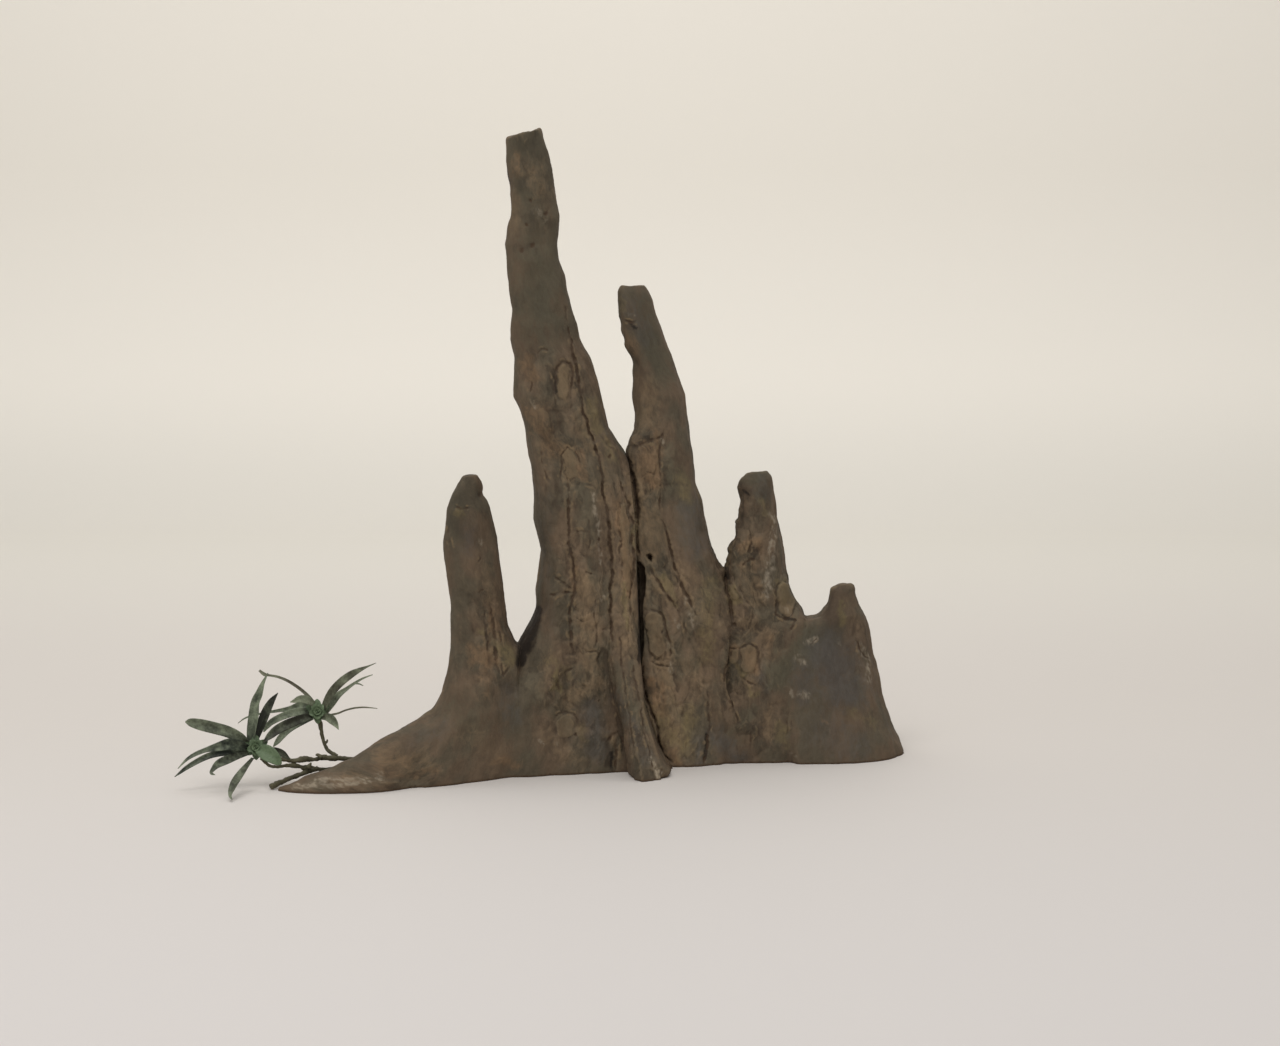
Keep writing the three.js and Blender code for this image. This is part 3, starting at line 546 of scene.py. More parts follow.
# Lumps in the smooth wood: (height, size across, size along, seed)
LUMPS = [(1.5, 32, 150, 51), (1.2, 15, 28, 52)]
SCALY = 0.15  # the roughness above which the bark has scales
LEVEL_SCALE = 0.35  # the height of a scale that is level with the wood
WORN_SHARE = 0.3  # how much of the relief is left where the wood is worn smooth
CRACK_REACH = 5  # how many of its widths from its middle a crack fades out
DEEP_CRACK = 5  # a crack deeper than this is whole along its length
LIP_PLACE = 2.3  # how many of its widths from its middle a crack's light edge, a painted highlight, is
LIP_HEIGHT = 0.35
LEAST_ROUGH = 0.12  # the roughness outside the rough bands
BACK_DRIFT = [9, 22]  # how far the back's partings wander sideways and up
BACK_SHIFT = 40  # how far away in the noise the back's partings are
BACK_CUTS = 0.6  # how deep they are, as a share of those in front
GROUND_SHADOW = 0.6  # painted contact shadow: how dark the lowest few millimetres are, as a share of a crack
# How many rounds of averaging tell how far a point stands out: from its near and from its wider
# surroundings. The material paints hollows darker by them, as painted shade, and raised spots lighter.
RELIEF_ROUNDS = {"ridge": 3, "swell": 16}


def bark_relief(grain, rough):
    """The bark's height over the smooth knee, how much each point is in a crack, and its scale's tint."""
    warp = np.column_stack([noises(grain / 20, 11, 12), noise(grain / 40, 13)])
    bent = grain + warp * WARP + 0.8 * noise(grain / 5, 14)[:, None]
    large, large_foot = flakes(bent / LARGE_FLAKES, 21, 1.3)
    small, _ = flakes(bent / SMALL_FLAKES, 31, 1.2)
    edge = np.ones(len(grain))
    lift = np.full(len(grain), LEVEL_SCALE)
    tint = np.full(len(grain), 0.5)
    scaly = rough > SCALY
    edge[scaly], lift[scaly], tint[scaly] = scales(bent[scaly] / SCALE_CELLS, 35)
    long_split = splits(bent / SPLITS, 41, 0.06)
    broken = eased(-0.1, 0.4, noise(grain / BREAKS, 47))

    height = sum(high * noise(grain / [across, across, along], seed) for high, across, along, seed in LUMPS)
    height += (WORN_SHARE + rough) * 0.5 * noise(bent / [6, 6, 12], 53)
    height += 0.12 * noise(grain / [2.4, 2.4, 4], 54)
    height += rough * (0.7 * large + 0.25 * small + 1.9 * eased(0.0, 0.3, edge) * (lift - LEVEL_SCALE))
    height -= (WORN_SHARE + rough) * 0.25 * long_split
    crack = rough * broken * np.maximum(0.22 * large_foot, 0.16 * (1 - eased(0.0, 0.12, edge)))
    return height, np.maximum(crack, (0.05 + 0.12 * rough) * long_split), tint


def drawn_features(seen, shift):
    """The drawn places: how deep each point is cut, how far raised, how much a crack, a lip (a light edge
    painted as a highlight) and a plate.
    """
    flat = np.column_stack([seen, np.full(len(seen), shift)])
    wander = noises(flat / 14, 55, 56)
    shiver = noises(flat / 4, 61, 62)
    ragged = noise(flat / 2.6, 57)
    lumpy = noise(flat / 7, 63)
    seen = seen + wander * 1.4 + shiver * 0.6
    worn = 0.4 + 0.6 * eased(-0.5, 0.3, noise(flat / 9, 58))
    lit = eased(-0.2, 0.5, noise(flat / 8, 64))
    cut, crack, lip, plate = np.zeros((4, len(seen)))
    for width, depth, line in CRACKS:
        which, away, from_end = close_to(seen, line, CRACK_REACH * width)
        strength = (0.35 + 0.65 * eased(0, 0.16, from_end)) * worn[which]
        if depth > DEEP_CRACK:
            strength = np.maximum(strength, 0.7)
        far = away / (width * (1 + 0.3 * ragged[which]))
        near = np.exp(-(far**2)) * strength
        cut[which] = np.maximum(cut[which], depth * near)
        crack[which] = np.maximum(crack[which], min(1.0, 0.28 + depth / 8) * near)
        # A light edge beside the crack, in patches: a painted highlight
        lip[which] = np.maximum(lip[which], np.exp(-((far - LIP_PLACE) ** 2)) * strength * lit[which])
    for x, z, radius, depth in PITS:
        which, away, _ = close_to(seen, [(x, z), (x, z + 0.5)], 4 * radius)
        near = np.exp(-((away / (radius * (1 + 0.4 * ragged[which]))) ** 2))
        cut[which] = np.maximum(cut[which], depth * near)
        crack[which] = np.maximum(crack[which], 0.6 * near)
    raised = LIP_HEIGHT * lip
    for height, half, line in PLATES:
        which, away, _ = close_to(seen, line, half + 3)
        on = eased(half, half - 2.0, away + 1.4 * lumpy[which])
        raised[which] = np.maximum(raised[which], height * on)
        plate[which] = np.maximum(plate[which], on)
    return cut, raised, np.clip(crack, 0, 1), lip, plate


def notched(seen):
    """How far the outline is cut in at each point, in millimetres."""
    depths = np.zeros(len(seen))
    for x, z, radius, depth in NOTCHES:
        which, away, _ = close_to(seen, [(x, z), (x, z + 0.5)], 2 * radius)
        depths[which] += depth * np.exp(-((away / radius) ** 2))
    return depths


def inside_parting(points, normals):
    """How much each point lies on the hidden faces of the parting between the two skins."""
    xs, zs = np.array(PARTING[::-1], float).T
    away = np.abs(points[:, 0] - np.interp(points[:, 2], zs, xs))
    return eased(5, 2, away) * eased(0.7, 0.9, np.abs(normals[:, 0]))


def edges_of(mesh):
    """The two end points of each edge, each way round."""
    ends = np.empty(len(mesh.edges) * 2, np.int64)
    mesh.edges.foreach_get("vertices", ends)
    ends = ends.reshape(-1, 2)
    return np.concatenate([ends, ends[:, ::-1]]).T


def standing_out(edges, points, normals, rounds):
    """How far each point stands out over the average of the points round it, in millimetres."""
    ends, others = edges
    count = np.bincount(ends, minlength=len(points))
    average = points
    for _ in range(rounds):
        sums = [np.bincount(ends, average[others, axis], len(points)) for axis in range(3)]
        average = np.stack(sums, axis=1) / count[:, None]
    return np.einsum("ij,ij->i", points - average, normals)


def soften(points, edges, weights, times):
    """Moves each point that has a weight towards the points round it, time after time."""
    ends, others = edges[:, weights[edges[0]] > 0.01]
    used, place = np.unique(ends, return_inverse=True)
    count = np.bincount(place)[:, None]
    share = 0.5 * weights[used, None]
    for _ in range(times):
        spots = points[others]
        average = np.stack([np.bincount(place, spots[:, axis]) for axis in range(3)], axis=1) / count
        points[used] += share * (average - points[used])


LEVEL_STEP = 6.0  # the spacing of the heights at which a join's two sides are measured
LEVEL_SIDES = (3.0, 9.0)  # how far from the join they are measured


def level(points, x, close):
    """Brings the two sides of a join to one depth, in front and at the back, so that no step is left."""
    near, far = LEVEL_SIDES
    which = np.flatnonzero(close > 0)
    spots = points[which]
    gap = spots[:, 0] - x
    heights = np.arange(spots[:, 2].min(), spots[:, 2].max(), LEVEL_STEP)
    depths = np.full((2, len(heights), 2), np.nan)
    for side, towards in enumerate((-1, 1)):
        beside = spots[(gap * towards > near) & (gap * towards < far)]
        for row, height in enumerate(heights):
            band = beside[np.abs(beside[:, 2] - height) < LEVEL_STEP, 1]
            if len(band):
                depths[side, row] = band.min(), band.max()
    depths = np.where(np.isnan(depths), depths[::-1], depths)
    known = ~np.isnan(depths).any(axis=(0, 2))
    rows = heights[known]
    left, right = [[np.interp(spots[:, 2], rows, side[known, face]) for face in (0, 1)] for side in depths]
    centre = (left[0] + left[1] + right[0] + right[1]) / 4
    shift = np.zeros(len(spots))
    for face, outward in ((0, -1), (1, 1)):
        middle = (left[face] + right[face]) / 2
        low = np.minimum(left[face], right[face])
        high = np.maximum(left[face], right[face])
        own = np.clip(spots[:, 1], low, high)
        own = np.where(gap > near, right[face], own)
        own = np.where(gap < -near, left[face], own)
        shift += eased(0, 12, (spots[:, 1] - centre) * outward) * (middle - own)
    points[which, 1] += close[which] * shift


def placed(name, data):
    """A new object in the scene."""
    thing = bpy.data.objects.new(name, data)
    bpy.context.collection.objects.link(thing)
    return thing


def closed_mesh(name, corners, faces):
    """A mesh from corners in metres and faces, all of them turned outward."""
    mesh = bpy.data.meshes.new(name)
    mesh.from_pydata(corners, [], faces)
    shape = bmesh.new()
    shape.from_mesh(mesh)
    bmesh.ops.recalc_face_normals(shape, faces=shape.faces[:])
    shape.to_mesh(mesh)
    shape.free()
    return mesh


def slot_blade(face):
    """A prism that fills the slot, from well before the bark's face to the slot's end behind it."""
    corners = []
    for y in (face - SLOT_LEAD, face + SLOT_DEPTH):
        far = (CAMERA_BACK + y) / CAMERA_BACK
        for x, z in SLOT:
            corners.append((TARGET + [x * far, y, CAMERA_HEIGHT + (z - CAMERA_HEIGHT) * far]) * MM)
    count = len(SLOT)
    faces = [list(range(count)), list(range(count, 2 * count))]
    for i in range(count):
        after = (i + 1) % count
        faces.append([i, after, count + after, count + i])
    return placed("blade", closed_mesh("blade", corners, faces))


def cut_slot(mesh):
    """Cuts the slot into a copy of a CAD knee."""
    shape = bmesh.new()
    shape.from_mesh(mesh)
    x, z = np.mean(SLOT, axis=0)
    start = (TARGET + [max(x, 0) + 6, -200, z]) * MM
    hit = BVHTree.FromBMesh(shape).ray_cast(Vector(start), Vector((0, 1, 0)))[0]
    shape.free()
    knee = placed("knee", mesh)
    blade = slot_blade(hit.y / MM - TARGET[1])
    cut = knee.modifiers.new("slot", "BOOLEAN")
    cut.operation = "DIFFERENCE"
    cut.object = blade
    keep_modified(knee)
    mesh = knee.data
    for piece in (blade, knee):
        bpy.data.objects.remove(piece)
    return mesh


def skin_mesh(name, nodes):
    """The CAD knees grown together into one fine mesh that still reaches below the ground."""
    joined = bmesh.new()
    for node in nodes:
        knee = bmesh.new()
        knee.from_mesh(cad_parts[node].data)
        bmesh.ops.remove_doubles(knee, verts=knee.verts, dist=WELD * MM)
        copy = bpy.data.meshes.new(node)
        knee.to_mesh(copy)
        if node == SLOT_KNEE:
            copy = cut_slot(copy)
        knee.clear()
        knee.from_mesh(copy)
        knee.normal_update()
        for v in knee.verts:
            v.co += v.normal * SEAM_OVERLAP * MM
            if v.co.z < AT_GROUND * MM:
                v.co.z -= SKIRT * MM
        knee.to_mesh(copy)
        knee.free()
        joined.from_mesh(copy)
        bpy.data.meshes.remove(copy)
    mesh = bpy.data.meshes.new(name)
    joined.to_mesh(mesh)
    joined.free()
    skin = placed(name, mesh)
    remesh = skin.modifiers.new("remesh", "REMESH")
    remesh.mode = "VOXEL"
    remesh.voxel_size = VOXEL * MM
    smooth = skin.modifiers.new("smooth", "SMOOTH")
    smooth.factor = 0.5
    smooth.iterations = SMOOTHINGS
    keep_modified(skin)
    smooth_joins(skin.data)
    return skin


def smooth_joins(mesh):
    """Levels and softens the places where the knees of a skin grow together."""
    points = points_of(mesh)
    edges = edges_of(mesh)
    for x, top, reach, times in JOINS:
        away = np.abs(points[:, 0] - x)
        below = eased(top + 12, top - 12, points[:, 2])
        if (away < reach).any():
            level(points, x, eased(reach, 0, away) * below)
            soften(points, edges, eased(reach * 0.7, reach * 0.2, away) * below, times)
    for x, bottom, top, reach, times in CREASES:
        away = np.abs(points[:, 0] - x)
        height = points[:, 2]
        close = eased(reach, reach * 0.4, away) * eased(bottom - 20, bottom + 20, height)
        close *= eased(top + 12, top - 12, height) * (points[:, 1] < 0)
        if close.max() > 0:
            soften(points, edges, close, times)
    put_points(mesh, points)


def keep_modified(piece):
    """The piece's modifiers become its mesh."""
    graph = bpy.context.evaluated_depsgraph_get()
    old = piece.data
    piece.data = bpy.data.meshes.new_from_object(piece.evaluated_get(graph))
    piece.modifiers.clear()
    bpy.data.meshes.remove(old)


def points_of(mesh):
    """A mesh's points, in millimetres from the target."""
    co = np.empty(len(mesh.vertices) * 3)
    mesh.vertices.foreach_get("co", co)
    return co.reshape(-1, 3) / MM - TARGET


def normals_of(mesh):
    """A mesh's normals at its points."""
    normals = np.empty(len(mesh.vertices) * 3)
    mesh.vertex_normals.foreach_get("vector", normals)
    return normals.reshape(-1, 3)


def put_points(mesh, points):
    """Moves a mesh's points to places given in millimetres from the target."""
    mesh.vertices.foreach_set("co", ((points + TARGET) * MM).ravel())
    mesh.update()


def store(mesh, name, values):
    """Keeps a number or a vector for each point, for the material."""
    vector = values.ndim == 2
    layer = mesh.attributes.new(name, "FLOAT_VECTOR" if vector else "FLOAT", "POINT")
    layer.data.foreach_set("vector" if vector else "value", values.astype(np.float32).ravel())


def open_loops(shape):
    """The open edges of a mesh, as loops of corners."""
    left = dict.fromkeys(e for e in shape.edges if e.is_boundary)
    loops = []
    while left:
        path = [next(iter(left)).verts[0]]
        while True:
            step = next((e for e in path[-1].link_edges if e in left), None)
            if step is None:
                break
            del left[step]
            corner = step.other_vert(path[-1])
            if corner in path:
                start = path.index(corner)
                loops.append(path[start:])
                path = path[:start + 1]
            else:
                path.append(corner)
    return [loop for loop in loops if len(loop) > 2]


def saw_flat(mesh):
    """Saws the mesh off level with the ground and closes the cut."""
    shape = bmesh.new()
    shape.from_mesh(mesh)
    everything = shape.verts[:] + shape.edges[:] + shape.faces[:]
    bmesh.ops.bisect_plane(
        shape, geom=everything, dist=1e-6, plane_co=(0, 0, 0), plane_no=(0, 0, 1), clear_inner=True
    )
    base = [shape.faces.new(loop) for loop in open_loops(shape)]
    bmesh.ops.triangulate(shape, faces=base, ngon_method="EAR_CLIP")
    bmesh.ops.recalc_face_normals(shape, faces=shape.faces[:])
    shape.to_mesh(mesh)
    shape.free()


def brush_tints(mesh, grain, seen, blotch, normals, front):
    """Stores how much of each tint every point has: brushed on in front, in scattered patches elsewhere."""
    for seed, (label, strokes) in enumerate(TINTS.items()):
        patches = eased(0.2, 0.75, noise(grain / PATCH_SIZE, 70 + seed)) * SCATTER.get(label, PATCH_STRENGTH)
        softness = SHADOW_SOFTNESS if label == "shadow" else BRUSH_SOFTNESS
        brush = brushed(seen + blotch * FINE_TINTS.get(label, 1.0), strokes, softness)
        facing = front
        # The painted shade also covers side faces, and is full over more of each stroke
        if label == "shadow":
            brush = np.minimum(1, SHADOW_FULLNESS * brush)
            facing = eased(0.5, 0.2, normals[:, 1])
        if label == "pale":
            brush *= 0.35 + 0.65 * eased(-0.4, 0.3, noise(grain / [3, 3, 4], 80))
        store(mesh, label, facing * brush + (1 - front) * patches)


def bark_skin(name, nodes, axes):
    """One skin of bark that stands for some of the CAD knees."""
    skin = skin_mesh(name, nodes)
    mesh = skin.data
    points = points_of(mesh)
    normals = normals_of(mesh)
    grain = grain_of(points, axes)
    seen = front_view(points)
    upright = points[:, [0, 2]]
    sideways = noise(grain / 11, 67) * 4 + noise(grain / 4, 68) * 1.5
    blotch = np.column_stack([sideways, noise(grain / 13, 69) * 6])
    rough = np.clip(brushed(upright + blotch, ROUGH_BANDS) + LEAST_ROUGH, 0, 1)
    height, crack, tint = bark_relief(grain, rough)
    front = eased(0.05, 0.45, -normals[:, 1])
    cut, raised, drawn, lip, plate = drawn_features(seen, 0)
    # The back has partings and plates like those of the front, at places that wander off from them.
    back = eased(0.05, 0.45, normals[:, 1])
    drift = noises(grain / 30, 59, 60) * BACK_DRIFT
    back_cut, back_raised, back_drawn, back_lip, back_plate = drawn_features(upright + drift, BACK_SHIFT)
    raised = raised * front + back_raised * back
    clear = np.clip(raised / 1.5, 0, 1)
    height = height * (1 - 0.4 * clear) + raised
    crack = np.maximum(crack * (1 - 0.6 * clear), np.maximum(drawn * front, back_drawn * back))
    parting = inside_parting(points, normals)
    height = height * (1 - parting) + PARTING_FILL * parting
    covered = parting * eased(2, 14, points[:, 2])
    height -= notched(seen) * eased(0.85, 0.4, np.abs(normals[:, 1])) * (1 - covered)
    moved = points + normals * height[:, None]
    moved[:, 1] += cut * front - BACK_CUTS * back_cut * back
    put_points(mesh, moved)

    brush_tints(mesh, grain, seen, blotch, normals, front)
    # Painted contact shadow: the lowest few millimetres are darkened like a crack, kept in the crack number
    ground_shadow = GROUND_SHADOW * eased(3.5, 0.5, points[:, 2])
    store(mesh, "grain", grain)
    store(mesh, "crack", np.clip(np.maximum(crack, ground_shadow), 0, 1))
    store(mesh, "rough", rough)
    store(mesh, "tint", tint)
    store(mesh, "lip", np.maximum(lip * front, back_lip * back))
    store(mesh, "plate", np.maximum(plate * front, back_plate * back))
    # Broad lighter and darker bands in front, partly painted light and shade
    store(mesh, "bright", broad_light(seen) * front)
    edges = edges_of(mesh)
    for label, rounds in RELIEF_ROUNDS.items():
        store(mesh, label, standing_out(edges, moved, normals_of(mesh), rounds))
    saw_flat(mesh)

    triangles = sum(len(p.vertices) - 2 for p in mesh.polygons)
    decimate = skin.modifiers.new("decimate", "DECIMATE")
    decimate.ratio = min(1.0, SKIN_TRIANGLES / triangles)
    keep_modified(skin)
    finish_piece(skin, bark_material(), "weathered_wood", *nodes)


def finish_piece(piece, material, slot, *nodes):
    """Gives a piece its material, and puts it in the place of its CAD nodes."""
    piece.data.polygons.foreach_set("use_smooth", [True] * len(piece.data.polygons))
    piece.data.materials.clear()
    piece.data.materials.append(material)
    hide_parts(*nodes)
    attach(piece, "root")


# Node helpers


def new_material(name):
    material = bpy.data.materials.new(name)
    material.use_nodes = True
    tree = material.node_tree
    tree.nodes.clear()
    output = tree.nodes.new("ShaderNodeOutputMaterial")
    shader = tree.nodes.new("ShaderNodeBsdfPrincipled")
    tree.links.new(shader.outputs["BSDF"], output.inputs["Surface"])
    return material, tree, shader


def linear(red, green, blue):
    """A colour given as seen on screen, from 0 to 255, as the shader needs it."""
    def bare(c):
        c /= 255
        return c / 12.92 if c <= 0.04045 else ((c + 0.055) / 1.055) ** 2.4
    return (bare(red), bare(green), bare(blue), 1)


def plug(tree, socket, value):
    """Sets a socket to a number or colour, or links it to another socket."""
    if isinstance(value, (int, float, tuple)):
        socket.default_value = value
    else:
        tree.links.new(value, socket)


def attribute(tree, name, output="Fac"):
    node = tree.nodes.new("ShaderNodeAttribute")
    node.attribute_name = name
    return node.outputs[output]


def scaled(tree, vector, scale):
    node = tree.nodes.new("ShaderNodeVectorMath")
    node.operation = "MULTIPLY"
    plug(tree, node.inputs[0], vector)
    node.inputs[1].default_value = scale
    return node.outputs["Vector"]


def noise_node(tree, vector, scale, detail=4, roughness=0.6, distortion=0.0):
    node = tree.nodes.new("ShaderNodeTexNoise")
    node.inputs["Scale"].default_value = scale
    node.inputs["Detail"].default_value = detail
    node.inputs["Roughness"].default_value = roughness
    node.inputs["Distortion"].default_value = distortion
    plug(tree, node.inputs["Vector"], vector)
    return node.outputs["Fac"]


def ramp(tree, value, low, high, bottom=0.0, top=1.0):
    node = tree.nodes.new("ShaderNodeMapRange")
    node.interpolation_type = "SMOOTHSTEP"
    node.inputs["From Min"].default_value = low
    node.inputs["From Max"].default_value = high
    node.inputs["To Min"].default_value = bottom
    node.inputs["To Max"].default_value = top
    plug(tree, node.inputs["Value"], value)
    return node.outputs["Result"]


def maths(tree, operation, a, b):
    node = tree.nodes.new("ShaderNodeMath")
    node.operation = operation
    plug(tree, node.inputs[0], a)
    plug(tree, node.inputs[1], b)
    return node.outputs["Value"]


def scaled_by(tree, value, factor):
    return maths(tree, "MULTIPLY", value, factor)


def mixed(tree, share, a, b, blend="MIX"):
    node = tree.nodes.new("ShaderNodeMix")
    node.data_type = "RGBA"
    node.blend_type = blend
    first, second = [s for s in node.inputs if s.type == "RGBA"]
    plug(tree, node.inputs["Factor"], share)
    plug(tree, first, a)
    plug(tree, second, b)
    return next(s for s in node.outputs if s.type == "RGBA")


def bumped(tree, shader, layers):
    """Stacks bump layers of (height, distance in millimetres, strength) into the shader's normal."""
    normal = None
    for height, distance, strength in layers:
        node = tree.nodes.new("ShaderNodeBump")
        node.inputs["Distance"].default_value = distance * MM
        node.inputs["Strength"].default_value = strength
        plug(tree, node.inputs["Height"], height)
        if normal is not None:
            plug(tree, node.inputs["Normal"], normal)
        normal = node.outputs["Normal"]
    plug(tree, shader.inputs["Normal"], normal)


# Materials


TINT_STRENGTH = 0.85  # how much of the wood's own colour a full brush stroke covers
WOOD_TONES = ((87, 78, 63), (99, 83, 66))
# Noise in the grain: (scale across, scale along, detail, roughness, distortion)
PATTERNS = {
    "broad": (0.035, 0.02, 4, 0.55, 0.0),
    "clouds": (0.075, 0.045, 5, 0.6, 0.5),
    "mottles": (0.17, 0.11, 5, 0.62, 0.8),
    "specks": (0.6, 0.4, 6, 0.7, 0.0),
    "streaks": (0.30, 0.04, 6, 0.62, 0.4),
    "fibres": (1.2, 0.09, 4, 0.6, 0.0),
}
# How much lighter and darker than its tint each pattern makes the wood
SHADINGS = {"clouds": 1.1, "mottles": 1.4, "specks": 0.45, "streaks": 0.35, "tint": 0.5}
GRIT = (60, 49, 37)
STORED = ("rough", "tint", "swell", "ridge", "plate", "lip", "crack")  # numbers kept for each point
# Colours laid over the tints in this order: (stored number or pattern, where it starts, where it is full,
# how strong it is there, colour)
WASHES = [
    ("fibres", 0.35, 0.7, 0.07, (68, 57, 44)),
    # Broad hollows darker: painted shade
    ("swell", 0.0, -0.9, 0.55, (60, 48, 37)),
    # Raised spots lighter: partly wear, partly a painted highlight
    ("ridge", 0.05, 0.4, 0.3, (126, 108, 82)),
    # Small hollows darker: painted shade
    ("ridge", -0.08, -0.45, 0.2, (60, 48, 36)),
    ("plate", 0.3, 1.0, 0.4, (113, 97, 74)),
    # Light edges beside the cracks: painted highlights
    ("lip", 0.1, 0.8, 0.55, (122, 103, 77)),
    # Cracks darker; the crack number also carries the painted contact shadow along the ground
    ("crack", 0.08, 0.5, 0.75, (75, 58, 42)),
    ("crack", 0.5, 1.0, 0.85, (44, 34, 25)),
]


def bark_material():
    """Weathered wood: browns that differ from patch to patch, placed tints, cracks, and painted shade and
    highlights.
    """
    if "weathered_wood_look" in bpy.data.materials:
        return bpy.data.materials["weathered_wood_look"]
    material, tree, shader = new_material("weathered_wood_look")
    grain = attribute(tree, "grain", "Vector")
    parts = {name: attribute(tree, name) for name in STORED}
    for name, (across, along, *looks) in PATTERNS.items():
        parts[name] = noise_node(tree, scaled(tree, grain, (across, across, along)), 1.0, *looks)
    mottles, specks, rough = parts["mottles"], parts["specks"], parts["rough"]

    colour = mixed(tree, ramp(tree, parts["broad"], 0.38, 0.62), *[linear(*tone) for tone in WOOD_TONES])
    wobble = maths(tree, "ADD", scaled_by(tree, mottles, 1.2), scaled_by(tree, specks, 0.3))
    for name, tone in TONES.items():
        patchy = maths(tree, "ADD", attribute(tree, name), wobble)
        colour = mixed(tree, ramp(tree, patchy, 0.9, 1.85, 0.0, TINT_STRENGTH), colour, linear(*tone))

    # How much lighter or darker each place is than its tint: the bright number, partly painted light and
    # shade, and the patterns
    worn = ramp(tree, rough, 0.0, 1.0, 0.5, 1.0)
    shade = maths(tree, "ADD", attribute(tree, "bright"), 1.0)
    for name, reach in SHADINGS.items():
        part = scaled_by(tree, maths(tree, "SUBTRACT", parts[name], 0.5), reach)
        shade = maths(tree, "ADD", scaled_by(tree, part, worn), shade)
    colour = mixed(tree, 1.0, colour, shade, "MULTIPLY")

    grit = maths(tree, "MULTIPLY", ramp(tree, specks, 0.56, 0.72), ramp(tree, rough, 0.0, 1.0, 0.06, 0.24))
    colour = mixed(tree, grit, colour, linear(*GRIT))
    for name, start, full, strength, tone in WASHES:
        colour = mixed(tree, ramp(tree, parts[name], start, full, 0.0, strength), colour, linear(*tone))
    plug(tree, shader.inputs["Base Color"], colour)
    plug(tree, shader.inputs["Roughness"], ramp(tree, specks, 0.3, 0.7, 0.72, 0.92))
    shader.inputs["Specular IOR Level"].default_value = 0.28
    bumped(tree, shader, [(parts["streaks"], 0.6, 0.3), (mottles, 1.2, 0.35), (specks, 0.6, 0.4)])
    return material


# The looks of the sprig: (darkest colour, lightest colour, roughness)
SPRIG_LOOKS = {
    "leaf_look": ((17, 25, 13), (137, 146, 121), 0.5),
    "stem_look": ((54, 54, 38), (98, 95, 72), 0.6),
    "bud_look": ((52, 68, 42), (98, 115, 85), 0.45),
}
BROWNED = (92, 80, 60)


def leaf_material(name, darkest, lightest, satin):
    """Dull green with soft clouds and fine streaks, lighter or browner by the piece's own numbers."""
    dark = linear(*darkest)
    light = linear(*lightest)
    material, tree, shader = new_material(name)
    place = tree.nodes.new("ShaderNodeTexCoord").outputs["Object"]
    clouds = noise_node(tree, place, 90, 3)
    veins = noise_node(tree, place, 520, 3)
    cloudy = scaled_by(tree, maths(tree, "SUBTRACT", clouds, 0.5), 2.2)
    lightness = maths(tree, "ADD", attribute(tree, "light"), cloudy)
    colour = mixed(tree, ramp(tree, lightness, -0.2, 1.1), dark, light)
    colour = mixed(tree, ramp(tree, veins, 0.4, 0.7, 0.0, 0.35), colour, dark)
    colour = mixed(tree, scaled_by(tree, attribute(tree, "brown"), 0.7), colour, linear(*BROWNED))
    plug(tree, shader.inputs["Base Color"], colour)
    plug(tree, shader.inputs["Roughness"], ramp(tree, veins, 0.3, 0.7, satin, satin + 0.15))
    shader.inputs["Specular IOR Level"].default_value = 0.35
    bumped(tree, shader, [(veins, 0.25, 0.4)])
    return material


# The sprig


LEAF_STEPS = 28
LEAF_ACROSS = 8
LEAF_THICKNESS = 0.6
LEAF_FOLD = 0.42  # how far a leaf's edges rise over its midrib, as a share of its half width
LEAF_TILTS = 0.5  # how far leaves are turned away from facing the front, to either side
LIGHTER_TIPS = 0.2  # how much lighter a leaf is at its tip, and darker at its bud, than in the middle
STEM_SIDES = 12
STEM_SPACING = 1.2  # between the rings of a stem
SPUR_RINGS = 8
KNOB_SIZE = 3.2  # how large a stem's knobs are
KNOB_HEIGHT = 0.25  # how high, as a share of its thickness
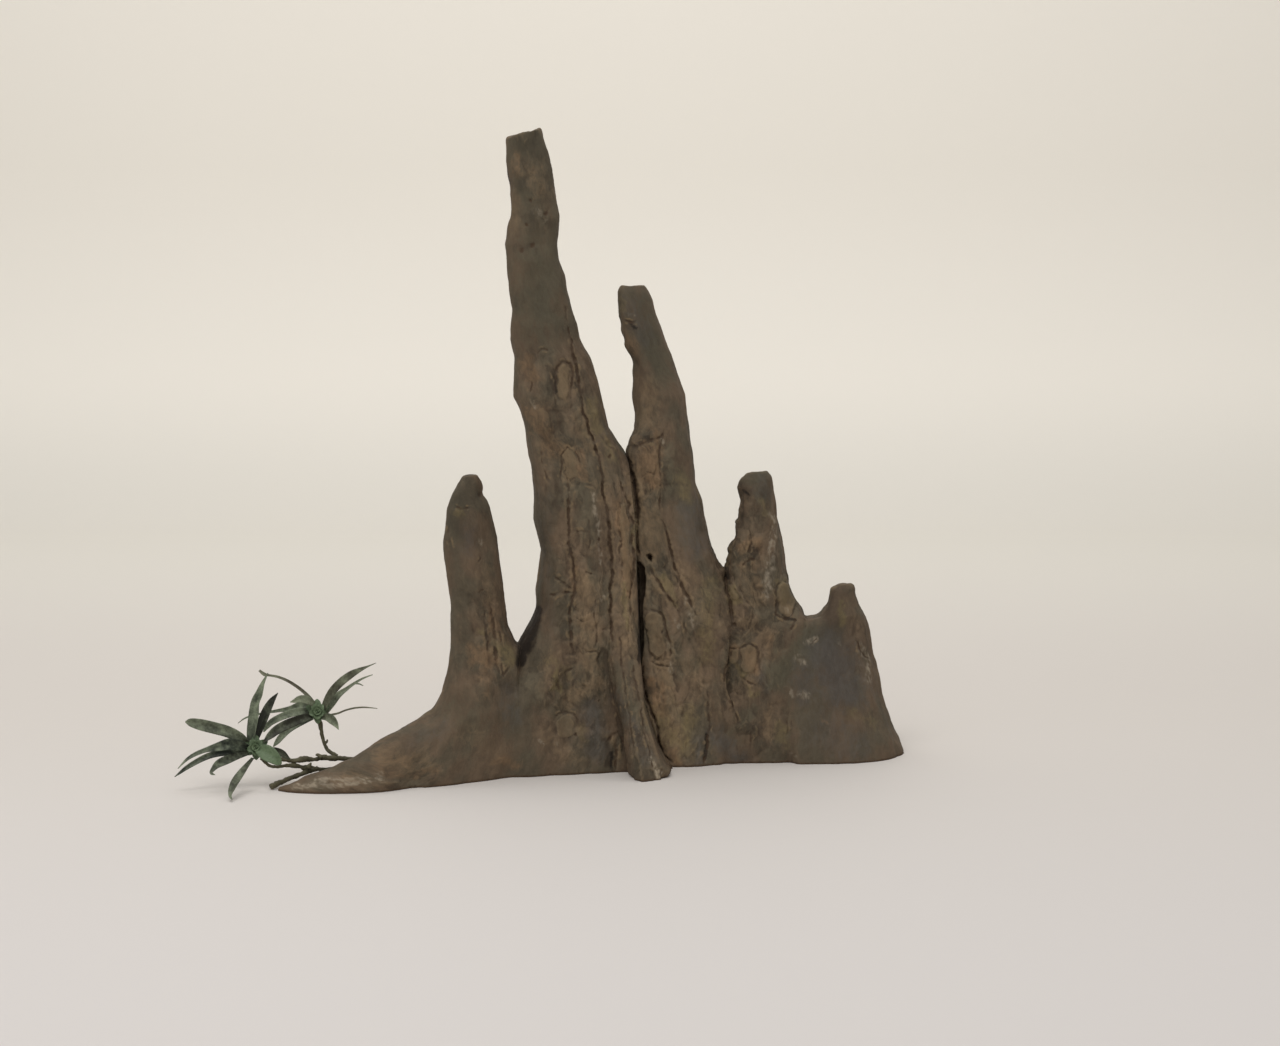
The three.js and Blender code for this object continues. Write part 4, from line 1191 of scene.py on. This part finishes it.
# Each leaf as seen from the front: (how light, how brown, (x, z, half width) from its bud to its tip)
LEAVES = {
    "low_leaf_1": (0.45, 0.15, [
        (-396, 24, 3), (-405, 34, 5), (-418, 41, 5.6), (-432, 45, 5.8), (-446, 48.5, 5.6), (-457, 51, 4),
        (-462, 51.5, 0.8),
    ]),
    "low_leaf_2": (0.25, 0.0, [
        (-398, 24, 3), (-408, 27, 5.5), (-418, 27.5, 6.2), (-430, 25, 4.5), (-442, 22, 2.6),
        (-452, 18, 2.2), (-461, 12.5, 1.6), (-470.5, 3.1, 0.4),
    ]),
    "low_leaf_3": (0.2, 0.0, [
        (-398, 22, 2.5), (-412, 20.5, 3), (-427, 19, 3.2), (-438, 16.5, 3.2), (-449, 11.5, 2.8),
        (-461, 4.4, 2.2), (-468, -0.8, 1.4), (-474, -5.3, 0.4),
    ]),
    "low_leaf_4": (0.25, 0.1, [
        (-398, 20, 2.5), (-409, 16.5, 3.5), (-420, 12.2, 4.4), (-429, 7.8, 4), (-434.5, 2.5, 2.4),
        (-436.5, -1.5, 1.6), (-433, -3.2, 0.5),
    ]),
    "low_leaf_5": (0.35, 0.2, [
        (-394, 14, 1.5), (-400, 6.5, 2.6), (-406.5, -2.5, 3.8), (-412, -11, 4.2), (-415.8, -19, 3.4),
        (-417.5, -25, 1.8), (-416, -28.8, 0.5),
    ]),
    "low_leaf_6": (0.55, 0.0, [
        (-396, 28, 2.5), (-394.5, 40, 4.8), (-391.5, 57, 5.8), (-389.8, 71, 4.8), (-386, 80, 4.1),
        (-382.3, 91, 2.2), (-377, 102, 0.4),
    ]),
    "low_leaf_7": (0.0, 0.1, [
        (-392, 29, 2), (-388, 40, 3.5), (-383.5, 52, 4.6), (-378.8, 63.5, 4.4), (-374, 72.5, 3.2),
        (-370, 78, 1.6), (-367.3, 81.5, 0.4),
    ]),
    "low_leaf_8": (0.1, 0.2, [
        (-380, 23, 2), (-371, 21.5, 3.4), (-364, 18.5, 3.4), (-358.5, 14.5, 1.6), (-356, 13, 0.4),
    ]),
    "low_leaf_9": (1.0, 0.0, [
        (-389, 24, 4), (-382, 20, 7.5), (-375, 15.5, 7.5), (-368.5, 10.5, 4.5), (-365, 8, 0.6),
    ]),
    "high_leaf_1": (0.45, 0.7, [
        (-331, 70, 2), (-336, 77, 1.9), (-345, 85.5, 1.7), (-356.5, 93.3, 1.5), (-367, 97.8, 1.3),
        (-376, 99.5, 1.2), (-381, 100.5, 1.9), (-386, 104.6, 1.2),
    ]),
    "high_leaf_2": (0.3, 0.4, [
        (-322, 62, 2.5), (-317.5, 72, 4), (-311, 83, 4.6), (-302, 92.5, 4.6), (-292.5, 99.8, 4),
        (-284, 104.8, 2.4), (-276, 108.5, 1), (-267.5, 112.2, 0.3),
    ]),
    "high_leaf_3": (0.75, 0.2, [
        (-320, 60, 2.5), (-313, 70.5, 4), (-305.5, 79.5, 3.2), (-297.3, 85.7, 2), (-289.6, 91.3, 1.4),
        (-280.6, 96.5, 1), (-271, 100.2, 0.4),
    ]),
    "high_leaf_4": (0.5, 0.8, [
        (-318, 58, 1.2), (-307, 60.3, 1), (-299, 63.5, 0.9), (-290, 65.8, 0.9), (-281, 66.6, 0.8),
        (-274, 66.2, 0.6), (-266.6, 65.4, 0.3),
    ]),
    "high_leaf_5": (0.6, 0.2, [
        (-323, 56, 2), (-317, 56.5, 3.8), (-312, 53.5, 4.4), (-308.5, 49, 3), (-306.3, 43.7, 0.4),
    ]),
    "high_leaf_6": (0.75, 0.3, [
        (-331, 70, 2.5), (-338, 74, 4), (-345, 75, 3.6), (-351, 73, 2), (-355, 72, 0.5),
    ]),
    "high_leaf_7": (0.5, 0.0, [
        (-333, 68, 3), (-345, 68.5, 3.4), (-355, 65.3, 2.6), (-366, 63.3, 1.8), (-377, 61.5, 1.3),
        (-390, 59, 1), (-401, 55.5, 0.8), (-408.5, 50.2, 0.3),
    ]),
    "high_leaf_8": (0.7, 0.0, [
        (-335, 62, 3), (-346, 62, 4), (-356, 59.5, 4), (-366, 55.5, 3.6), (-374, 51, 3.4), (-379, 46, 2.6),
        (-382.5, 41, 0.6),
    ]),
    "high_leaf_9": (0.1, 0.15, [
        (-331, 58, 3), (-340, 56, 3.8), (-350, 52.3, 4.6), (-360, 48, 5), (-369.5, 42.8, 4.6),
        (-377, 36.5, 3.4), (-383, 30.5, 0.6),
    ]),
    "high_leaf_10": (0.7, 0.0, [
        (-332, 56, 2), (-345, 50, 2.6), (-356, 44, 3), (-364, 37, 3.2), (-369, 31, 2.6), (-373, 26, 0.6),
    ]),
}
# Each stem the same way, with its half thickness
STEMS = {
    "sprig_main_stem": [
        (-290, 12, 2.6), (-303.5, 14, 2.4), (-313.6, 14, 2.9), (-322.5, 15, 2.9), (-331.4, 12.8, 2),
        (-342.7, 13, 3.2), (-350.3, 11.5, 2.2), (-358, 12.1, 2.3), (-370, 14, 2), (-382, 19, 2),
    ],
    "sprig_side_stem": [
        (-308, 16.6, 2), (-312.3, 18.6, 2), (-317.3, 21.8, 2), (-320.4, 27.6, 1.7), (-322.8, 35.4, 1.7),
        (-323.9, 43.1, 2), (-325.6, 50.8, 2.6), (-327, 58, 2.4),
    ],
    "sprig_lower_stem": [
        (-312, 3, 2.2), (-326, 2.5, 2), (-337.7, 3.1, 3.6), (-345, 5, 2), (-352, 6.6, 2.6),
        (-361.7, 6.3, 1.6), (-369.3, 5, 1.6), (-378.2, 7, 1.6), (-386, 14, 1.6),
    ],
    "sprig_cut_twig": [
        (-328, 3.4, 2.4), (-337.8, 0.5, 2.4), (-349.3, -4, 2.4), (-359.5, -7.9, 2.5), (-368.4, -11.8, 2.7),
        (-376, -15.4, 3),
    ],
}
# Short side growths that belong to a leaf or a stem
SPURS = {
    "high_leaf_3": [(-290, 91, 0.9), (-285, 90.8, 0.8), (-280.7, 88.9, 0.5)],
    "sprig_main_stem": [(-324, 15, 2.4), (-328, 17.5, 1.6), (-330, 17.2, 0.8)],
    "sprig_side_stem": [(-320, 30, 1.6), (-318.4, 31.5, 1.2), (-317.8, 33.5, 0.6)],
    "sprig_lower_stem": [(-338, 4, 3), (-335.5, 8, 1.4), (-334.8, 9.6, 0.6)],
}
LOWEST = 0.5  # how far over the ground the sprig stays
THINNEST = 0.25  # the least half width or half thickness
BUD_COLOURED = ["low_leaf_9"]  # young leaves, as light as a bud
BUDS = {"low": 0.65, "high": 0.9}  # how light each bud is
FACING_UP = 0.35  # how far leaves and buds look up from facing the front
BUD_FACING = (0.15, -1, FACING_UP)
LEAF_SPUR_PLACE = 0.6  # where a leaf's spur is, as a share of the leaf's length
STEM_SPUR_PLACE = 0.5  # the same on a stem
STEM_LIGHT = 0.5
STEM_BROWN = 0.3


def depth_along(node, start):
    """How far back a CAD leaf or stem is, as a function of how far along it from the end near start."""
    corners = np.array([v.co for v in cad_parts[node].data.vertices]) / MM
    away = np.linalg.norm(corners - start, axis=1)
    share = (away - away.min()) / (away.max() - away.min())
    fit = np.polyfit(share, corners[:, 1] - TARGET[1], 3)
    return lambda s: np.polyval(fit, s)


def spline(points, count):
    """Places spread over a smooth line through points."""
    points = np.array(points, float)
    padded = np.vstack([2 * points[0] - points[1], points, 2 * points[-1] - points[-2]])
    places = []
    for t in np.linspace(0, len(points) - 1, count):
        i = min(int(t), len(points) - 2)
        a, b, c, d = padded[i:i + 4]
        f = t - i
        bend = a - 2.5 * b + 2 * c - d / 2
        twist = 1.5 * (b - c) + (d - a) / 2
        places.append(b + f * (c - a) / 2 + f**2 * bend + f**3 * twist)
    return np.array(places)


def traced(line, depth, count):
    """Middle points and half widths, in millimetres, of a line drawn in the front view."""
    seen = spline(line, count)
    walked = np.concatenate([[0], np.cumsum(np.hypot(*np.diff(seen[:, :2], axis=0).T))])
    y = depth(walked / walked[-1])
    far = (CAMERA_BACK + y) / CAMERA_BACK
    places = np.stack([seen[:, 0] * far, y, CAMERA_HEIGHT + (seen[:, 1] - CAMERA_HEIGHT) * far], axis=1)
    return places + TARGET, np.maximum(seen[:, 2], THINNEST)


def headings(middles):
    """The direction of a line at each of its points."""
    ahead = np.gradient(middles, axis=0)
    return ahead / np.linalg.norm(ahead, axis=1)[:, None]


def leaf_grid(middles, halves, facing, seed):
    """The two sides of one leaf as points and faces, in millimetres; its upper side looks to facing."""
    points = []
    steps = len(middles) - 1
    for i, (middle, half, ahead) in enumerate(zip(middles, halves, headings(middles))):
        side = np.cross(ahead, facing)
        side /= np.linalg.norm(side)
        up = np.cross(side, ahead)
        wave = 0.05 * math.sin(9 * i / steps + seed)
        for thick in (LEAF_THICKNESS / 2, -LEAF_THICKNESS / 2):
            for j in range(-LEAF_ACROSS // 2, LEAF_ACROSS // 2 + 1):
                t = 2 * j / LEAF_ACROSS
                rim = 1 - 0.75 * abs(t)
                fold = LEAF_FOLD * abs(t) * half + wave * t * half
                points.append(middle + side * half * t + up * (fold + thick * rim))
    row = LEAF_ACROSS + 1
    faces = []
    for i in range(steps):
        here = 2 * row * i
        there = here + 2 * row
        for j in range(LEAF_ACROSS):
            faces.append((here + j, here + j + 1, there + j + 1, there + j))
            faces.append((here + row + j + 1, here + row + j, there + row + j, there + row + j + 1))
        for edge in (0, LEAF_ACROSS):
            faces.append((here + edge, there + edge, there + row + edge, here + row + edge))
    for here in (0, 2 * row * steps):
        for j in range(LEAF_ACROSS):
            faces.append((here + j + 1, here + j, here + row + j, here + row + j + 1))
    return points, faces


def mesh_piece(name, grids, material, slot, node, light, brown=0.0):
    """One piece from grids of points and faces in millimetres, in the place of a CAD node."""
    corners = []
    faces = []
    for points, polygons in grids:
        faces += [[len(corners) + i for i in polygon] for polygon in polygons]
        corners += [(p[0] * MM, p[1] * MM, max(p[2], LOWEST) * MM) for p in points]
    mesh = closed_mesh(name, corners, faces)
    store(mesh, "light", np.linspace(light - LIGHTER_TIPS, light + LIGHTER_TIPS, len(corners)))
    store(mesh, "brown", np.full(len(corners), brown))
    finish_piece(placed(name, mesh), material, slot, node)


def tube_grid(middles, radii, seed):
    """A knobbly tube along a middle line, as points and faces in millimetres."""
    points = []
    sides = STEM_SIDES
    steps = len(middles) - 1
    for middle, radius, ahead in zip(middles, radii, headings(middles)):
        side = np.cross(ahead, [0, 1, 0])
        side /= np.linalg.norm(side)
        up = np.cross(side, ahead)
        for j in range(sides):
            turn = 2 * math.pi * j / sides
            spot = middle + (side * math.cos(turn) + up * math.sin(turn)) * radius
            bump = noise(spot[None] / KNOB_SIZE, seed)[0] * KNOB_HEIGHT
            points.append(middle + (spot - middle) * (1 + bump))
    faces = [tuple(range(sides))[::-1], tuple(range(sides * steps, sides * steps + sides))]
    for i in range(steps):
        for j in range(sides):
            a = i * sides + j
            b = i * sides + (j + 1) % sides
            faces.append((a, b, b + sides, a + sides))
    return points, faces


def spur_grids(node, depth, share, number):
    """A leaf's or stem's short side growth, if it has one, as far back as it is at a share of its length."""
    if node not in SPURS:
        return []
    end = depth(share)
    return [tube_grid(*traced(SPURS[node], lambda along: np.full(len(along), end), SPUR_RINGS), number)]


# The rings of a bud's scales: (how many, length as a share of the bud's radius, how far open in degrees)
BUD_RINGS = [(6, 1.9, 84), (5, 1.6, 58), (3, 1.25, 28), (2, 1.0, 8)]
BUD_SCALE_STEPS = 12
BUD_SCALE_WIDTH = 0.66  # its half width, as a share of the bud's radius
BUD_SCALE_RISE = 0.35  # how far its middle bows out, as such a share


def bud_grids(centre, radius, toward):
    """A bud: short broad scales round a core, opening towards a direction."""
    toward = np.array(toward, float)
    toward /= np.linalg.norm(toward)
    side = np.cross(toward, [0, 0, 1])
    side /= np.linalg.norm(side)
    up = np.cross(side, toward)
    grids = []
    share = np.linspace(0, 1, BUD_SCALE_STEPS)[:, None]
    breadth = np.sin(math.pi * (0.12 + 0.88 * share[:, 0])) ** 0.7
    halves = radius * BUD_SCALE_WIDTH * np.maximum(0.05, breadth)
    for ring, (count, reach, opening) in enumerate(BUD_RINGS):
        tilt = math.radians(opening)
        for k in range(count):
            turn = 2 * math.pi * (k + 0.4 * ring) / count + 0.5
            out = side * math.cos(turn) + up * math.sin(turn)
            tip = toward * math.cos(tilt) + out * math.sin(tilt)
            length = radius * reach * (0.85 + 0.3 * chance(k + 10 * ring, 77))
            bow = toward * radius * BUD_SCALE_RISE * np.sin(math.pi * share)
            middles = centre + tip * length * share + bow
            grids.append(leaf_grid(middles, halves, toward - 0.3 * out, k + 5 * ring))
    return grids


def sprig():
    """The leaves, buds and stems of the sprig."""
    leaf, stem, bud = [leaf_material(name, *look) for name, look in SPRIG_LOOKS.items()]
    centres = {}
    for name, light in BUDS.items():
        low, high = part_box(f"{name}_bud")
        centres[name] = np.array((low + high) / 2) / MM
        radius = (high - low).x / 2 / MM
        grids = bud_grids(centres[name], radius, BUD_FACING)
        mesh_piece(f"{name}_bud_scales", grids, bud, "bud", f"{name}_bud", light)
    for number, (node, (light, brown, line)) in enumerate(LEAVES.items()):
        depth = depth_along(node, centres[node.split("_")[0]])
        facing = (LEAF_TILTS * (2 * chance(number, 78) - 1), -1, FACING_UP)
        grids = [leaf_grid(*traced(line, depth, LEAF_STEPS), facing, number)]
        grids += spur_grids(node, depth, LEAF_SPUR_PLACE, number)
        look = bud if node in BUD_COLOURED else leaf
        mesh_piece(f"{node}_blade", grids, look, "leaf", node, light, brown)
    far_end = np.array(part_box("left_spire")[0]) / MM
    for number, (node, line) in enumerate(STEMS.items()):
        depth = depth_along(node, far_end)
        length = sum(math.dist(a[:2], b[:2]) for a, b in zip(line, line[1:]))
        grids = [tube_grid(*traced(line, depth, int(length / STEM_SPACING)), number)]
        grids += spur_grids(node, depth, STEM_SPUR_PLACE, number)
        mesh_piece(f"{node}_twig", grids, stem, "stem", node, STEM_LIGHT, STEM_BROWN)


# Floor, light and camera


# The floor and its sweep up into the backdrop, in metres
FLOOR_HALF = 6.0
FLOOR_FRONT = -3.2
FLOOR_BACK = 2.7
SWEEP = 0.7
SWEEP_STEPS = 12
BACKDROP_TOP = 3.6
FLOOR_COLOUR = (216, 211, 208)
# Where it fades to other colours: (axis, from, to, colour)
FLOOR_FADES = [
    ("Y", -0.9, 0.4, (215, 209, 203)),
    ("Y", 0.4, 2.0, (226, 222, 214)),
    ("Z", 0.0, 0.3, (240, 235, 226)),
]
# Soft lights: (name, place, aim, size, power), in metres and watts
LIGHTS = [
    ("key", (-0.5, -1.5, 2.7), (0, 0, 0.2), (1.8, 1.2), 36),
    ("back_wash", (0.0, 0.9, 3.0), (0, 2.6, 0.6), (3.4, 1.2), 30),
]
LIGHT_COLOUR = (1.0, 0.99, 0.97)
SKY_COLOUR = (1.0, 0.995, 0.985, 1)
SKY_STRENGTH = 0.52


def pale_floor():
    """A plain floor that sweeps up into a plain backdrop."""
    outline = [(FLOOR_FRONT, 0.0), (FLOOR_BACK - SWEEP, 0.0)]
    for step in range(1, SWEEP_STEPS + 1):
        turn = math.pi / 2 * step / SWEEP_STEPS
        outline.append((FLOOR_BACK - SWEEP + SWEEP * math.sin(turn), SWEEP * (1 - math.cos(turn))))
    outline.append((FLOOR_BACK, BACKDROP_TOP))
    mesh = bpy.data.meshes.new("floor")
    corners = [(x, y, z) for y, z in outline for x in (-FLOOR_HALF, FLOOR_HALF)]
    faces = [(2 * i, 2 * i + 1, 2 * i + 3, 2 * i + 2) for i in range(len(outline) - 1)]
    mesh.from_pydata(corners, [], faces)
    mesh.polygons.foreach_set("use_smooth", [True] * len(faces))
    material, tree, shader = new_material("floor_look")
    place = tree.nodes.new("ShaderNodeTexCoord").outputs["Object"]
    apart = tree.nodes.new("ShaderNodeSeparateXYZ")
    plug(tree, apart.inputs["Vector"], place)
    colour = linear(*FLOOR_COLOUR)
    for axis, start, full, tone in FLOOR_FADES:
        colour = mixed(tree, ramp(tree, apart.outputs[axis], start, full), colour, linear(*tone))
    plug(tree, shader.inputs["Base Color"], colour)
    shader.inputs["Roughness"].default_value = 0.7
    shader.inputs["Specular IOR Level"].default_value = 0.2
    mesh.materials.append(material)
    floor = placed("floor", mesh)


def area_light(name, place, aim, size, power):
    """A soft light at a place, turned to an aim."""
    data = bpy.data.lights.new(name, "AREA")
    data.shape = "RECTANGLE"
    data.size, data.size_y = size
    data.energy = power
    data.color = LIGHT_COLOUR
    light = placed(name, data)
    light.location = place
    light.rotation_euler = (Vector(aim) - Vector(place)).to_track_quat("-Z", "Y").to_euler()


def studio():
    """Even light from all round, a key light from above, and a wash on the backdrop."""
    world = bpy.data.worlds.new("studio")
    bpy.context.scene.world = world
    world.use_nodes = True
    sky = world.node_tree.nodes["Background"]
    sky.inputs["Color"].default_value = SKY_COLOUR
    sky.inputs["Strength"].default_value = SKY_STRENGTH
    for light in LIGHTS:
        area_light(*light)
    bpy.context.scene.view_settings.view_transform = "Standard"


def photo_camera():
    """The camera at the photograph's viewing angle."""
    data = bpy.data.cameras.new("camera")
    data.lens = CAMERA_LENS
    data.sensor_fit = "HORIZONTAL"
    data.sensor_width = SENSOR_WIDTH
    camera = placed("camera", data)
    camera.location = Vector(TARGET + [0, -CAMERA_BACK, CAMERA_HEIGHT]) * MM
    camera.rotation_euler = (math.radians(90 - CAMERA_PITCH), 0, 0)
    bpy.context.scene.camera = camera


# The scene


photo_camera()
studio()
pale_floor()
knee_axes = spire_axes()
bark_skin("left_bark", LEFT_KNEES, knee_axes)
bark_skin("right_bark", RIGHT_KNEES, knee_axes)
sprig()
